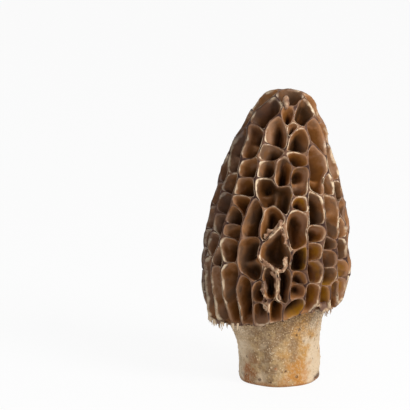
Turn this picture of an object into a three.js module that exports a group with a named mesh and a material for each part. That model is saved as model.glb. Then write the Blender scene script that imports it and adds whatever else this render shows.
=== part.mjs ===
// A black morel (Morchella): a hollow, ladder-pitted cap grown onto a hollow, cut stem.
// Millimetres, +Z up. It stands on the stem's cut end, which lies in the plane z = 0.
//
// The cap's outside is a net of ribs. Each pit has one or more lobes, and each lobe is a Voronoi cell
// about a point given by longitude and height. The cells are found in a flat plane that the cap's
// meridian unrolls onto, with the apex at the plane's origin, and are then wrapped back round the cap.
import * as THREE from "three";

// Driving dimensions.
const HEIGHT = 90;
const MARGIN_HEIGHT = 21.3; // mean height of the cap's lower edge
const STEM_RADIUS = 12.35;
const BORE_RADIUS = 9.5;
const STEM_AXIS_X = -0.2;
const WALL = 9.6; // from the rib crests to the hollow
const GAP = 0.3; // between the cap's underside and the stem's top
const CAVITY_TOP = 79;

// The cap's meridian through its rib crests, as [radius, height] from the lower edge to the apex.
const MERIDIAN = [
  [19.2, MARGIN_HEIGHT], [21.3, 25.3], [22.3, 31], [22.5, 38], [22, 46], [21.2, 52], [19.9, 57],
  [18.3, 63], [16.2, 71], [13.2, 78], [10.7, 83.4], [8.6, 86.4], [6, 88.5], [3.1, 89.6], [0, HEIGHT],
];
// How far the cap's axis leans to the side, as [height, x].
const LEAN = [[0, -0.2], [20, -1.2], [40, -1.5], [50, -0.6], [63, -0.3], [71, 0.15], [78, 0.9], [90, 1.5]];
// The lower edge's height round the cap, as [longitude, height]. Longitude 0 is the front, -Y.
const MARGIN = [
  [-180, 21.5], [-130, 20.2], [-90, 19.2], [-50, 19.2], [-28, 20.3], [-8, 20.8],
  [10, 22.2], [30, 23.4], [60, 23], [90, 22.6], [130, 22.4], [180, 21.5],
];

// The pits that were placed one by one, each a list of lobes as [longitude, height].
const CROWN_PITS = [
  [[14, 88.6]], [[42, 84.6], [24, 83]], [[17, 80.8]], [[-44, 82.3], [-24, 85.4]], [[-82, 86.3]],
  [[80, 83.5]], [[6, 84]], [[-11, 81.4], [-9, 78.4]], [[22, 78.8], [20, 76]], [[50, 79.5], [56, 75.2]],
  [[-46, 78.8], [-43, 74.6]], [[-68, 75], [-64, 69]], [[-86, 80]], [[85, 77]],
];
const UPPER_PITS = [
  [[-38, 69]], [[-12, 73.7]], [[17.5, 72.2]], [[45, 71.5], [46, 67], [41, 63.4]], [[-13, 69.1]],
  [[2.5, 69], [3, 66]], [[19, 66.6], [20, 62.9]], [[72, 70], [74, 66]], [[-38, 63]], [[-38, 58]],
  [[-13, 63.7], [5, 62], [-11, 59.5], [1, 58.2]], [[20, 58.8]], [[35, 59], [35, 54.8]], [[56, 62]],
  [[73, 60]], [[75, 54]], [[-60, 63]], [[-60, 57]], [[-80, 65]], [[-82, 58]],
];
const MIDDLE_PITS = [
  [[53, 57.6], [52, 52.5], [52, 49.5]], [[-43, 54]], [[-43, 49.4]], [[-45, 45]], [[-21, 56], [-23, 51.2]],
  [[-5, 56], [-9, 52]], [[17, 54.6], [14, 50.5], [17, 47.3]], [[34, 49]], [[-1, 48.4], [-5, 45], [6, 42.9]],
  [[-23, 46], [-18, 39]], [[19, 43.6], [19, 40.4]], [[33, 44]], [[33, 37.6]], [[48, 45]], [[48, 41]],
  [[65, 48]], [[66, 42]], [[84, 49]], [[85, 43]], [[-62, 50]], [[-64, 44.5]], [[-81, 51]], [[-80, 44]],
];
const LOWER_PITS = [
  [[47, 35.3]], [[66, 36]], [[66, 30]], [[86, 36]], [[86, 29]], [[19, 36]], [[18, 31.8]],
  [[18, 27.4], [11, 24.3]], [[31, 31], [30, 26.3]], [[43, 29.6], [41, 25.6]], [[55, 30], [56, 26]],
  [[-26, 32], [-25, 28], [-25, 23.8]], [[-41, 35], [-40, 30], [-38, 25]], [[-56, 40.5]],
  [[-56, 34.5], [-55, 29.5], [-51, 24]], [[-70, 35], [-70, 30], [-68, 24]], [[-86, 37]], [[-88, 30]],
  [[-86, 24]], [[-12, 32.4], [-11.5, 29.8]], [[-4, 36.2], [-5, 32.4]], [[6, 36.2], [5, 31.6]],
  [[-12, 27], [-13, 23.4]], [[-1, 27.4], [0, 24]],
];

// The rest of the cap has its pits in upright files, staggered like the rungs of neighbouring ladders.
const FILES = { first: 100, last: 262, spacing: 17.5, lowest: 26, stagger: 3.6, tops: [80, 71, 86, 71] };

const STRETCH = 0.82; // below 1, a cell between evenly spaced points is taller than it is wide
// depthShare is of the distance to the cap's axis. floorScale and wallShare are the foot of a pit's
// wall: its outline as a share of the rim's, and how far down it is as a share of the depth.
const PIT = {
  depthToWidth: 0.72, shallowest: 3, deepest: 6.4, depthShare: 0.4, floorScale: 0.78, wallShare: 0.86,
};
const AXIS_MARGIN = 4; // added to that distance, so that the pits of the crown aren't too shallow
const TAPER = 10; // the larger this is, the less the foot of a wall closes in on the axis
const RUNG_DROP = 1.4; // a cross rib sags this far below the upright ribs
const SEPTUM_DROP = 3; // and the fold between two lobes of one pit this far
const EDGE_DROP = 0.8; // and the lower edge this far between its corners
const EDGE_STEP = 6; // longest straight piece of a rib
const EDGE_FADE = 6; // the higher this is, the sooner the lower edge's ups and downs die out above it
const MARGIN_SIDES = 44;

// The envelope isn't quite round: it has shallow lobes, a left shoulder and a bulge on the right.
const LOBES = [{ count: 2, depth: 0.012, turn: -2.4 }, { count: 3, depth: 0.01, turn: 0.5 }];
const BULGES = [
  { longitude: -80, width: 42, height: 20.5, tall: 4.5, reach: 1.4 },
  { longitude: 85, width: 40, height: 33, tall: 7, reach: 0.6 },
];

// The hollow: how fast it widens above the stem's bore, how blunt its top is, and its rings.
const NECK_SPREAD = 0.45;
const DOME_BLUNTNESS = 2.2;
const HOLLOW_LEVELS = [26, 30, 36, 44, 52, 60, 67, 73, 77, 78.4];
const UNDERSIDE_RISE = 1.5; // from the lower edge up to the stem

const radians = THREE.MathUtils.degToRad;
const clamp = THREE.MathUtils.clamp;

// A smooth curve through [x, y] points.
function through(points, x) {
  const last = points.length - 1;
  const at = clamp(x, points[0][0], points[last][0]);
  let i = 0;
  while (i < last - 1 && at > points[i + 1][0]) i++;
  const slope = (k) => {
    const [a, b] = [points[Math.max(k - 1, 0)], points[Math.min(k + 1, last)]];
    return (b[1] - a[1]) / (b[0] - a[0]);
  };
  const [[x0, y0], [x1, y1]] = [points[i], points[i + 1]];
  const h = x1 - x0;
  const t = (at - x0) / h;
  const rise = slope(i) * h * (t ** 3 - 2 * t * t + t) + slope(i + 1) * h * (t ** 3 - t * t);
  return y0 * (2 * t ** 3 - 3 * t * t + 1) + y1 * (3 * t * t - 2 * t ** 3) + rise;
}

// Numbers from 0 to 1 that are the same on every run.
function randomNumbers(seed) {
  let state = seed;
  return () => {
    state = (state * 1664525 + 1013904223) % 4294967296;
    return state / 4294967296;
  };
}

// The meridian as samples of height, radius and turn: turn grows by length / radius, which makes the
// plane's small shapes keep their angles on the cap.
function sampleMeridian() {
  const curve = new THREE.SplineCurve(MERIDIAN.map(([r, z]) => new THREE.Vector2(r, z)));
  const samples = [{ z: MARGIN_HEIGHT, r: MERIDIAN[0][0], turn: 0 }];
  const points = curve.getPoints(560);
  for (let i = 1; i < points.length; i++) {
    const [a, b] = [points[i - 1], points[i]];
    const turn = samples[i - 1].turn + a.distanceTo(b) / Math.max((a.x + b.x) / 2, 0.01);
    samples.push({ z: b.y, r: b.x, turn });
  }
  return samples;
}
const meridian = sampleMeridian();

function lookUp(from, to, value) {
  let [low, high] = [0, meridian.length - 1];
  if (value <= meridian[low][from]) return meridian[low][to];
  if (value >= meridian[high][from]) return meridian[high][to];
  while (high - low > 1) {
    const middle = (low + high) >> 1;
    if (meridian[middle][from] <= value) low = middle;
    else high = middle;
  }
  const [a, b] = [meridian[low], meridian[high]];
  return a[to] + ((b[to] - a[to]) * (value - a[from])) / (b[from] - a[from]);
}

// The lower edge isn't level: heights near it shift with it.
function marginShift(longitude, z) {
  const down = (HEIGHT - z) / (HEIGHT - MARGIN_HEIGHT);
  const turned = THREE.MathUtils.euclideanModulo(longitude + 180, 360) - 180;
  return (through(MARGIN, turned) - MARGIN_HEIGHT) * down ** EDGE_FADE;
}

function toPlane(longitude, height) {
  let z = height;
  for (let i = 0; i < 6; i++) z = height - marginShift(longitude, z);
  const rho = Math.exp(-lookUp("z", "turn", z) * STRETCH);
  const a = radians(longitude);
  return new THREE.Vector2(rho * Math.sin(a), -rho * Math.cos(a));
}

// A point of the cap's envelope, which the rib crests reach.
function onEnvelope(x, y) {
  const turn = -Math.log(Math.max(Math.hypot(x, y), 1e-9)) / STRETCH;
  const longitude = THREE.MathUtils.radToDeg(Math.atan2(x, -y));
  const level = lookUp("turn", "z", turn);
  const z = level + marginShift(longitude, level);
  const a = radians(longitude);
  const lobing = LOBES.reduce((sum, lobe) => sum + lobe.depth * Math.cos(lobe.count * a + lobe.turn), 1);
  let r = lookUp("turn", "r", turn) * lobing;
  for (const bulge of BULGES) {
    const [aside, above] = [(longitude - bulge.longitude) / bulge.width, (z - bulge.height) / bulge.tall];
    r += bulge.reach * Math.exp(-(above ** 2) - aside ** 2);
  }
  return new THREE.Vector3(through(LEAN, z) + r * Math.sin(a), -r * Math.cos(a), z);
}

function outwardAt(x, y) {
  const h = 0.02 * Math.max(Math.hypot(x, y), 0.01);
  const across = onEnvelope(x + h, y).sub(onEnvelope(x - h, y));
  const along = onEnvelope(x, y + h).sub(onEnvelope(x, y - h));
  return across.cross(along).normalize();
}

function filedPits() {
  const random = randomNumbers(7);
  const between = (low, high) => low + (high - low) * random();
  const pits = [];
  let file = 0;
  for (let longitude = FILES.first; longitude < FILES.last; longitude += FILES.spacing) {
    let z = FILES.lowest + (file % 2) * FILES.stagger + between(-0.8, 0.8);
    while (z < FILES.tops[file % FILES.tops.length]) {
      pits.push([[longitude + between(-1.6, 1.6), z]]);
      z += z < 66 ? between(6, 8.2) : between(5, 6.2);
    }
    file += 1;
  }
  return pits;
}

// Cuts a polygon by the half plane n.p <= c. Each corner holds the label of the side that leaves it.
function cut(polygon, n, c, label) {
  const over = polygon.map(({ p }) => p.dot(n) - c);
  if (Math.max(...over) <= 0) return polygon;
  const kept = [];
  polygon.forEach((corner, k) => {
    const next = (k + 1) % polygon.length;
    const crossing = () => corner.p.clone().lerp(polygon[next].p, over[k] / (over[k] - over[next]));
    if (over[k] <= 0) {
      kept.push(corner);
      if (over[next] > 0) kept.push({ p: crossing(), label });
    } else if (over[next] <= 0) {
      kept.push({ p: crossing(), label: corner.label });
    }
  });
  return kept;
}

// Voronoi cells of the lobes inside the unit circle, whose sides have negative labels.
function cellsOf(lobes) {
  const NEAREST = 40;
  return lobes.map((lobe, i) => {
    let polygon = [[-2, -2], [2, -2], [2, 2], [-2, 2]].map(([x, y]) => {
      return { p: new THREE.Vector2(x, y), label: "frame" };
    });
    const others = lobes.map((other, j) => ({ j, p: other.p, gap: other.p.distanceToSquared(lobe.p) }));
    others.sort((a, b) => a.gap - b.gap);
    for (const { j, p } of others.slice(1, NEAREST)) {
      const n = p.clone().sub(lobe.p);
      polygon = cut(polygon, n, (p.lengthSq() - lobe.p.lengthSq()) / 2, j);
    }
    for (let m = 0; m < MARGIN_SIDES; m++) {
      const a = (2 * Math.PI * (m + 0.5)) / MARGIN_SIDES;
      const n = new THREE.Vector2(Math.cos(a), Math.sin(a));
      polygon = cut(polygon, n, Math.cos(Math.PI / MARGIN_SIDES), -1 - m);
    }
    return { ...lobe, index: i, polygon };
  });
}

// A growing triangle mesh whose points are shared by name.
class Skin {
  constructor() {
    this.positions = [];
    this.triangles = [];
    this.named = new Map();
  }
  point(v, name) {
    if (name !== undefined && this.named.has(name)) return this.named.get(name);
    const id = this.positions.length / 3;
    this.positions.push(v.x, v.y, v.z);
    if (name !== undefined) this.named.set(name, id);
    return id;
  }
  // Joins two closed rings of equal length, the second one being the next ring inward.
  band(outer, inner) {
    outer.forEach((a, k) => {
      const next = (k + 1) % outer.length;
      this.triangles.push(a, outer[next], inner[next], a, inner[next], inner[k]);
    });
  }
  fan(ring, centre) {
    ring.forEach((a, k) => this.triangles.push(a, ring[(k + 1) % ring.length], centre));
  }
  geometry() {
    const geometry = new THREE.BufferGeometry();
    geometry.setAttribute("position", new THREE.Float32BufferAttribute(this.positions, 3));
    geometry.setIndex(this.triangles);
    geometry.computeVertexNormals();
    return geometry;
  }
}

// How far a rib's crest lies under the envelope, part t of the way along it. Beyond it is another cell,
// or nothing at the lower edge.
function crestDrop(cell, beyond, start, end, t) {
  const arch = Math.sin(Math.PI * t);
  if (!beyond) return EDGE_DROP * arch;
  if (beyond.pit === cell.pit) return SEPTUM_DROP * Math.sqrt(arch);
  const upright = Math.abs(end.z - start.z) / Math.max(end.distanceTo(start), 1e-6);
  return RUNG_DROP * (1 - upright) * arch;
}

// The crests round one cell: its corners, and points between them on long sides. A corner inside a pit,
// where three of its lobes meet, is as low as the folds between them.
function crestsOf(cell, cells, skin) {
  const crests = [];
  const { polygon } = cell;
  polygon.forEach((corner, k) => {
    const before = polygon[(k + polygon.length - 1) % polygon.length].label;
    const next = polygon[(k + 1) % polygon.length];
    const name = (a, b) => [cell.index, a, b].sort((one, two) => one - two).join(" ");
    const [from, to] = [name(before, corner.label), name(corner.label, next.label)];
    const [start, end] = [corner.p, next.p].map((p) => onEnvelope(p.x, p.y));
    const steps = Math.max(1, Math.ceil(start.distanceTo(end) / EDGE_STEP));
    const forward = from < to;
    const insidePit = [before, corner.label].every((label) => cells[label]?.pit === cell.pit);
    for (let s = 0; s < steps; s++) {
      const t = s / steps;
      const p = corner.p.clone().lerp(next.p, t);
      const out = outwardAt(p.x, p.y);
      const place = onEnvelope(p.x, p.y);
      const drop = insidePit && s === 0 ? SEPTUM_DROP : crestDrop(cell, cells[corner.label], start, end, t);
      place.addScaledVector(out, -drop);
      const step = forward ? s : steps - s;
      const id = skin.point(place, s === 0 ? from : [from, to].sort().join("/") + "/" + step);
      crests.push({ id, p, out, place, margin: corner.label < 0 || (s === 0 && before < 0) });
    }
  });
  return crests;
}

function areaOf(crests) {
  const centre = centreOf(crests);
  const sum = new THREE.Vector3();
  crests.forEach(({ place }, k) => {
    const next = crests[(k + 1) % crests.length].place;
    sum.add(place.clone().sub(centre).cross(next.clone().sub(centre)));
  });
  return sum.length() / 2;
}

function centreOf(crests) {
  const centre = new THREE.Vector3();
  crests.forEach(({ place }) => centre.add(place));
  return centre.divideScalar(crests.length);
}

// The rings of an open wall under the cap: the underside, then the hollow from bottom to top.
function innerRings(edge, skin) {
  const inward = (p, t) => THREE.MathUtils.lerp(p.r, BORE_RADIUS + GAP, t);
  const underside = [0.5, 1].map((t) => (p) => ringPoint(p, inward(p, t), t));
  const hollow = HOLLOW_LEVELS.map((z) => ({ sine, cosine }) => {
    const r = hollowRadius(z);
    return new THREE.Vector3(through(LEAN, z) + r * sine, -r * cosine, z);
  });
  return [...underside, ...hollow].map((place) => edge.map((p) => skin.point(place(p))));
}

function hollowRadius(z) {
  const wide = lookUp("z", "r", z) - WALL;
  const neck = BORE_RADIUS + GAP + (z - MARGIN_HEIGHT) * NECK_SPREAD;
  const dome = Math.sqrt(Math.max(CAVITY_TOP - z, 0)) * DOME_BLUNTNESS;
  return Math.min(wide, neck, dome);
}

// A point of the cap's underside, part t of the way in from the lower edge.
function ringPoint({ sine, cosine, edgeZ, x }, r, t) {
  const axis = THREE.MathUtils.lerp(x, STEM_AXIS_X, t);
  return new THREE.Vector3(axis + r * sine, -r * cosine, edgeZ + UNDERSIDE_RISE * t * (2 - t));
}

function capGeometry() {
  const pits = [...CROWN_PITS, ...UPPER_PITS, ...MIDDLE_PITS, ...LOWER_PITS, ...filedPits()];
  const lobes = pits.flatMap((pit, k) => pit.map(([longitude, z]) => ({ pit: k, p: toPlane(longitude, z) })));
  const cells = cellsOf(lobes);
  const skin = new Skin();
  const pitArea = pits.map(() => 0);
  for (const cell of cells) {
    cell.crests = crestsOf(cell, cells, skin);
    pitArea[cell.pit] += areaOf(cell.crests);
  }
  const edge = new Map();
  for (const { crests, pit } of cells) {
    const centre = centreOf(crests);
    const middle = crests.reduce((sum, { p }) => sum.add(p), new THREE.Vector2()).divideScalar(crests.length);
    const out = outwardAt(middle.x, middle.y);
    const girth = Math.hypot(centre.x - through(LEAN, centre.z), centre.y) + AXIS_MARGIN;
    const wanted = PIT.depthToWidth * Math.sqrt(pitArea[pit]);
    const depth = Math.min(clamp(wanted, PIT.shallowest, PIT.deepest), PIT.depthShare * girth);
    const scale = PIT.floorScale * (1 - depth / (girth + TAPER));
    const wall = crests.map(({ place, out: up }) => {
      const foot = centre.clone().lerp(place, scale);
      return skin.point(foot.addScaledVector(up.clone().lerp(out, 0.5).normalize(), -depth * PIT.wallShare));
    });
    skin.band(crests.map(({ id }) => id), wall);
    skin.fan(wall, skin.point(centre.addScaledVector(out, -depth)));
    crests.filter(({ margin }) => margin).forEach((crest) => edge.set(crest.id, crest));
  }
  closeUnderside(skin, [...edge.values()]);
  return skin.geometry();
}

// The lower edge turns in to the stem, and the hollow closes under the apex.
function closeUnderside(skin, edge) {
  const around = edge.map(({ id, place }) => {
    const x = through(LEAN, place.z);
    const r = Math.hypot(place.x - x, place.y);
    const longitude = Math.atan2(place.x - x, -place.y);
    return { id, r, x, longitude, edgeZ: place.z, sine: Math.sin(longitude), cosine: Math.cos(longitude) };
  });
  around.sort((a, b) => b.longitude - a.longitude);
  const rings = [around.map(({ id }) => id), ...innerRings(around, skin)];
  rings.slice(1).forEach((ring, k) => skin.band(rings[k], ring));
  const top = new THREE.Vector3(through(LEAN, CAVITY_TOP), 0, CAVITY_TOP);
  skin.fan(rings[rings.length - 1], skin.point(top));
}

// The stem: a tube with a slightly lobed outline, flaring under the cap, most of all on the left.
const STEM_SIDES = 48;
const STEM_LEVELS = [0, 0.18, 0.4, 0.6, 0.76, 0.88, 1]; // parts of the way up to the flare's lip
const FLARE = 1.4; // how far the lip stands out all round
const LEFT_FLARE = { longitude: -68, width: 42, reach: 3.2 };
const STEM_LOBES = [
  { count: 2, depth: 0.28, turn: 0.6 },
  { count: 3, depth: 0.2, turn: -0.8 },
  { count: 7, depth: 0.14, turn: 1 },
];
const LIP_RISE = 0.9; // from the flare's edge up to the inner edge of the stem's top

function stemRadius(longitude, rise) {
  const a = radians(longitude);
  const lobed = STEM_LOBES.reduce((sum, lobe) => sum + lobe.depth * Math.cos(lobe.count * a + lobe.turn), 0);
  const left = Math.exp(-(((longitude - LEFT_FLARE.longitude) / LEFT_FLARE.width) ** 2));
  return STEM_RADIUS + lobed + rise ** 4 * (FLARE + LEFT_FLARE.reach * left);
}

function stemGeometry() {
  const skin = new Skin();
  const around = Array.from({ length: STEM_SIDES }, (_, k) => (360 * k) / STEM_SIDES - 180);
  const ringAt = (radiusAt, heightAt) =>
    around.map((longitude) => {
      const [a, r] = [radians(longitude), radiusAt(longitude)];
      const [x, y] = [STEM_AXIS_X + r * Math.sin(a), -r * Math.cos(a)];
      return skin.point(new THREE.Vector3(x, y, heightAt(longitude)));
    });
  const underCap = (longitude) => through(MARGIN, longitude) - GAP;
  const outside = STEM_LEVELS.map((rise) => {
    return ringAt((longitude) => stemRadius(longitude, rise), (longitude) => underCap(longitude) * rise);
  });
  const top = ringAt(() => BORE_RADIUS, (longitude) => underCap(longitude) + LIP_RISE);
  const foot = ringAt(() => BORE_RADIUS, () => 0);
  const rings = [...outside, top, foot];
  rings.forEach((ring, k) => skin.band(ring, rings[(k + 1) % rings.length]));
  return skin.geometry();
}

function part(name, geometry, color, roughness) {
  const mesh = new THREE.Mesh(geometry, new THREE.MeshStandardMaterial({ color, roughness, metalness: 0 }));
  mesh.name = name;
  return mesh;
}

const morel = new THREE.Group();
morel.add(part("cap", capGeometry(), 0x6b4c34, 0.62));
morel.add(part("stem", stemGeometry(), 0xd8c3a0, 0.78));

// The origin is under the middle of the whole.
const middle = new THREE.Box3().setFromObject(morel).getCenter(new THREE.Vector3());
morel.position.set(-middle.x, -middle.y, 0);

const group = new THREE.Group();
group.add(morel);
export default group;
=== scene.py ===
"""Builds a black morel: a hollow cap of ribs and pits, grown onto a hollow stem with a cut end.

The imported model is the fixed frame, and gives every place. Lengths inside the functions that lay out
the cap and the stem are in millimetres of the model, and are turned to metres when a mesh is made.
"""

import math
from functools import lru_cache

import bpy
import numpy as np
from bpy.props import FloatProperty, FloatVectorProperty, IntProperty, PointerProperty
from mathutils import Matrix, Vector, noise
from mathutils.geometry import delaunay_2d_cdt


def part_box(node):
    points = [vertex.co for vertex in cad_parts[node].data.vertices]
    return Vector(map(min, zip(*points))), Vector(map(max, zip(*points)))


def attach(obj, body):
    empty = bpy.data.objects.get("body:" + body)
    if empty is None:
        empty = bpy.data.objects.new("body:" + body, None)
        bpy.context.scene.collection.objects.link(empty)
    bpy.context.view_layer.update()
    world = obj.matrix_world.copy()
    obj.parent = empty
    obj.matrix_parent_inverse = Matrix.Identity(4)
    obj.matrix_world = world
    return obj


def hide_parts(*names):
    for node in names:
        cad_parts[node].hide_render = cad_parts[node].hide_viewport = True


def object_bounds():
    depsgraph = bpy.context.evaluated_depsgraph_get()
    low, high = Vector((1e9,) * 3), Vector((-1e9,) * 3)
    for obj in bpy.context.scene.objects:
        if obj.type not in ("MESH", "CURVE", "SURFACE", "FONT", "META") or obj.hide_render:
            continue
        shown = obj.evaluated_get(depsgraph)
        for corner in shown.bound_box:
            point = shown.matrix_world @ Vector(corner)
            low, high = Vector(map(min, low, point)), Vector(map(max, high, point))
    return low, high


bl_info = {
    "name": "Morel Mushroom",
    "version": (1, 0, 0),
    "blender": (4, 5, 0),
    "location": "3D View > Sidebar > Morel",
    "description": "Builds a morel with a net of ribs and pits on a hollow, granular stem",
    "category": "Add Mesh",
}

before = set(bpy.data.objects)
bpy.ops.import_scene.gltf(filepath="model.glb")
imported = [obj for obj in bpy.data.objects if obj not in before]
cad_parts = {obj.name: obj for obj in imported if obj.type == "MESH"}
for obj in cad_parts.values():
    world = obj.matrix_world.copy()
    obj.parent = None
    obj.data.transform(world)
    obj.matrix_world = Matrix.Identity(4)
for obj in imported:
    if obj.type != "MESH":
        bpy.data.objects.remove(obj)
CAD_BOX = [list(corner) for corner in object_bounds()]
BODY = "root"
MM = 0.001
UP = np.array([0, 0, 1])
NOISE_SEED = 6
FILE_SEED = 7

# ----------------------------------------
# The cap's layout, as in the model: a meridian, a lean, a lower edge and the places of the pits.

HEIGHT = 90.0
MARGIN_HEIGHT = 21.3  # of the lower edge, before it slants
STRETCH = 0.82  # how much a distance up the cap counts in the plane, against one round it
# [radius, height] through the rib crests, from the lower edge to the apex.
MERIDIAN = [
    (19.2, MARGIN_HEIGHT), (21.3, 25.3), (22.3, 31), (22.5, 38), (22, 46), (21.2, 52), (19.9, 57),
    (18.3, 63), (16.2, 71), (13.2, 78), (10.7, 83.4), (8.6, 86.4), (6, 88.5), (3.1, 89.6), (0, HEIGHT),
]
# [height, sideways place of the axis]
LEAN = [(0, -0.2), (20, -1.2), (40, -1.5), (50, -0.6), (63, -0.3), (71, 0.15), (78, 0.9), (90, 1.5)]
# (how far it swells, height, how tall, longitude, how wide) of each bulge.
BULGES = [(1.4, 20.5, 4.5, -80, 42), (0.6, 33, 7, 85, 40)]
# [longitude, height] of the lower edge. Longitude 0 is the front, -Y, and grows towards +X.
MARGIN = [
    (-180, 21.5), (-130, 20.2), (-90, 19.2), (-50, 19.2), (-28, 20.3), (-8, 20.8),
    (10, 22.2), (30, 23.4), (60, 23), (90, 22.6), (130, 22.4), (180, 21.5),
]
# Each pit is a list of lobes, each at (longitude, height).
CROWN_PITS = [
    [(14, 88.6)], [(42, 84.6), (24, 83)], [(17, 80.8)], [(-44, 82.3), (-24, 85.4)], [(-82, 86.3)],
    [(80, 83.5)], [(6, 84)], [(-11, 81.4), (-9, 78.4)], [(22, 78.8), (20, 76)], [(50, 79.5), (56, 75.2)],
    [(-46, 78.8), (-43, 74.6)], [(-68, 75), (-64, 69)], [(-86, 80)], [(85, 77)],
]
UPPER_PITS = [
    [(-38, 69)], [(-12, 73.7)], [(17.5, 72.2)], [(45, 71.5), (46, 67), (41, 63.4)], [(-13, 69.1)],
    [(2.5, 69), (3, 66)], [(19, 66.6), (20, 62.9)], [(72, 70), (74, 66)], [(-38, 63)], [(-38, 58)],
    [(-13, 64), (-11, 60.2), (1, 59.4), (5, 62.2)], [(20, 58.8)], [(35, 59), (35, 54.8)], [(56, 62)],
    [(73, 60)], [(75, 54)], [(-60, 63)], [(-60, 57)], [(-80, 65)], [(-82, 58)],
]
MIDDLE_PITS = [
    [(53, 57.6), (52, 52.5), (52, 49.5)], [(-43, 54)], [(-43, 49.4)], [(-45, 45)],
    [(-21, 56), (-23, 51.2)], [(-5, 56), (-9, 52)], [(17, 54.6), (14, 50.5), (17, 47.3)], [(34, 49)],
    [(-1, 48.4), (-5, 45), (6, 42.9)], [(-23, 46), (-18, 39)], [(19, 43.6), (19, 40.4)], [(33, 44)],
    [(33, 37.6)], [(48, 45)], [(48, 41)], [(65, 48)], [(66, 42)], [(84, 49)], [(85, 43)], [(-62, 50)],
    [(-64, 44.5)], [(-81, 51)], [(-80, 44)],
]
LOWER_PITS = [
    [(47, 35.3)], [(66, 36)], [(66, 30)], [(86, 36)], [(86, 29)], [(19, 36)], [(18, 31.8)],
    [(18, 27.4), (11, 24.3)], [(31, 31), (30, 26.3)], [(43, 29.6), (41, 25.6)], [(55, 30), (56, 26)],
    [(-26, 32), (-25, 28), (-25, 23.8)], [(-41, 35), (-40, 30), (-38, 25)], [(-56, 40.5)],
    [(-56, 34.5), (-55, 29.5), (-51, 24)], [(-70, 35), (-70, 30), (-68, 24)], [(-86, 37)], [(-88, 30)],
    [(-86, 24)], [(-12, 32.4), (-11.5, 29.8)], [(-4, 36.2), (-5, 32.4)], [(6, 36.2), (5, 31.6)],
    [(-12, 27), (-13, 23.4)], [(-1, 27.4), (0, 24)],
]
# Files of pits on the back, staggered like the rungs of neighbouring ladders.
FILES = {"first": 100, "last": 262, "spacing": 17.5, "lowest": 26, "stagger": 3.6, "tops": (80, 71, 86, 71)}
FILE_CHANCE = {"longitude": 1.6, "start": 0.8}  # how far a place in a file may be from its even one
FILE_RUNGS = [(66, (6, 8.2)), (HEIGHT, (5, 6.2))]  # (up to a height, least and most steps between pits)
MARGIN_SIDES = 60  # of the polygon that stands for the cap's lower edge in the plane
NEAREST = 40  # how many neighbours can bound a pit

# Ribs that stand up, torn and rolled, each along a line of (longitude, height) places.
TORN_RIBS = [
    [(-12, 48.6), (-6, 50.5), (2.5, 54)],
    [(2.5, 54), (5, 51), (7, 48), (10, 46)],
    [(-13, 42.5), (-8, 40.4), (-2, 39), (5, 38.4), (9, 40), (8.5, 43)],
    [(-9, 35.5), (-8.2, 32), (-9, 28.5), (-7, 26)],
    [(-3, 38.5), (0.4, 35.5), (0.6, 32), (3, 29.5)],
    [(36, 27.5), (43, 25.5), (50, 26.5)],
]
# Places where a low wall crosses a pit's floor, between two of its lobes.
FOLDS = [
    (-44.5, 76.7), (-66, 72), (19.5, 64.7), (-12, 62.1), (-5, 59.8), (-20.5, 42.5), (52.5, 55),
    (43.5, 65.2),
]
# Where the cap's colour changes, or painted shade darkens it: (longitude, height, reach).
GOLDEN = [
    (33, 44, 6.5), (33, 37.6, 6.5), (47, 30, 8), (18, 25, 5.5), (22, 58.8, 5), (20, 71, 5), (-14, 72, 3),
    (66, 32, 8),
]
FRAYED = [
    (20, 89.4, 3.5), (-14, 87, 2.5), (62, 85, 3), (-76, 24, 6), (-60, 22.5, 4.5), (-88, 26, 5),
    (52, 25, 4), (64, 26, 4),
]
# Painted shade: the cap's left flank and upper left are coloured darker.
PAINTED_SHADE_SPOTS = [(-58, 86.5, 8), (-92, 60, 15), (-92, 44, 15), (-84, 76, 12), (-92, 30, 12)]
# Places of pits that get painted shade: their walls and floors are coloured darker.
PAINTED_SHADE_PITS = [(14, 88.6), (33, 84), (-35, 84), (-1, 45.5), (-43, 54)]
PAINTED_SHADE_PIT_REACH = 3.5


def curve_table(points):
    """Dense samples of a smooth curve through (x, y) points."""
    xs, ys = (np.array(values, float) for values in zip(*points))
    ends = np.arange(len(xs))
    before, after = np.maximum(ends - 1, 0), np.minimum(ends + 1, len(xs) - 1)
    slope = (ys[after] - ys[before]) / (xs[after] - xs[before])
    x = np.linspace(xs[0], xs[-1], 800)
    i = np.clip(np.searchsorted(xs, x, side="right") - 1, 0, len(xs) - 2)
    h = xs[i + 1] - xs[i]
    t = (x - xs[i]) / h
    rise = slope[i] * h * (t**3 - 2 * t**2 + t) + slope[i + 1] * h * (t**3 - t**2)
    return x, ys[i] * (2 * t**3 - 3 * t**2 + 1) + ys[i + 1] * (3 * t**2 - 2 * t**3) + rise


def meridian_table():
    """Height, radius and turn along the cap's meridian. Turn grows by length / radius."""
    points = np.array([MERIDIAN[0], *MERIDIAN, MERIDIAN[-1]], float)
    rows = []
    for a, b, c, d in zip(points, points[1:], points[2:], points[3:]):
        for t in np.arange(40) / 40:
            u, v = (c - a) / 2, (d - b) / 2
            rows.append((2 * b - 2 * c + u + v) * t**3 + (3 * c - 3 * b - 2 * u - v) * t**2 + u * t + b)
    rows = np.array([*rows, points[-1]])
    steps = np.hypot(*np.diff(rows, axis=0).T)
    turn = np.concatenate([[0], np.cumsum(steps / np.maximum((rows[1:, 0] + rows[:-1, 0]) / 2, 0.01))])
    return rows[:, 1], rows[:, 0], turn


LEAN_TABLE = curve_table(LEAN)
MARGIN_TABLE = curve_table(MARGIN)
LEVEL, GIRTH, TURN = meridian_table()


def lean(z):
    return np.interp(z, *LEAN_TABLE)


def margin_height(longitude):
    return np.interp((longitude + 180) % 360 - 180, *MARGIN_TABLE)


def margin_shift(longitude, z):
    """How far the slanting lower edge moves a place up or down, from nothing at the apex."""
    down = (HEIGHT - z) / (HEIGHT - MARGIN_HEIGHT)
    return (margin_height(longitude) - MARGIN_HEIGHT) * down**6


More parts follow.
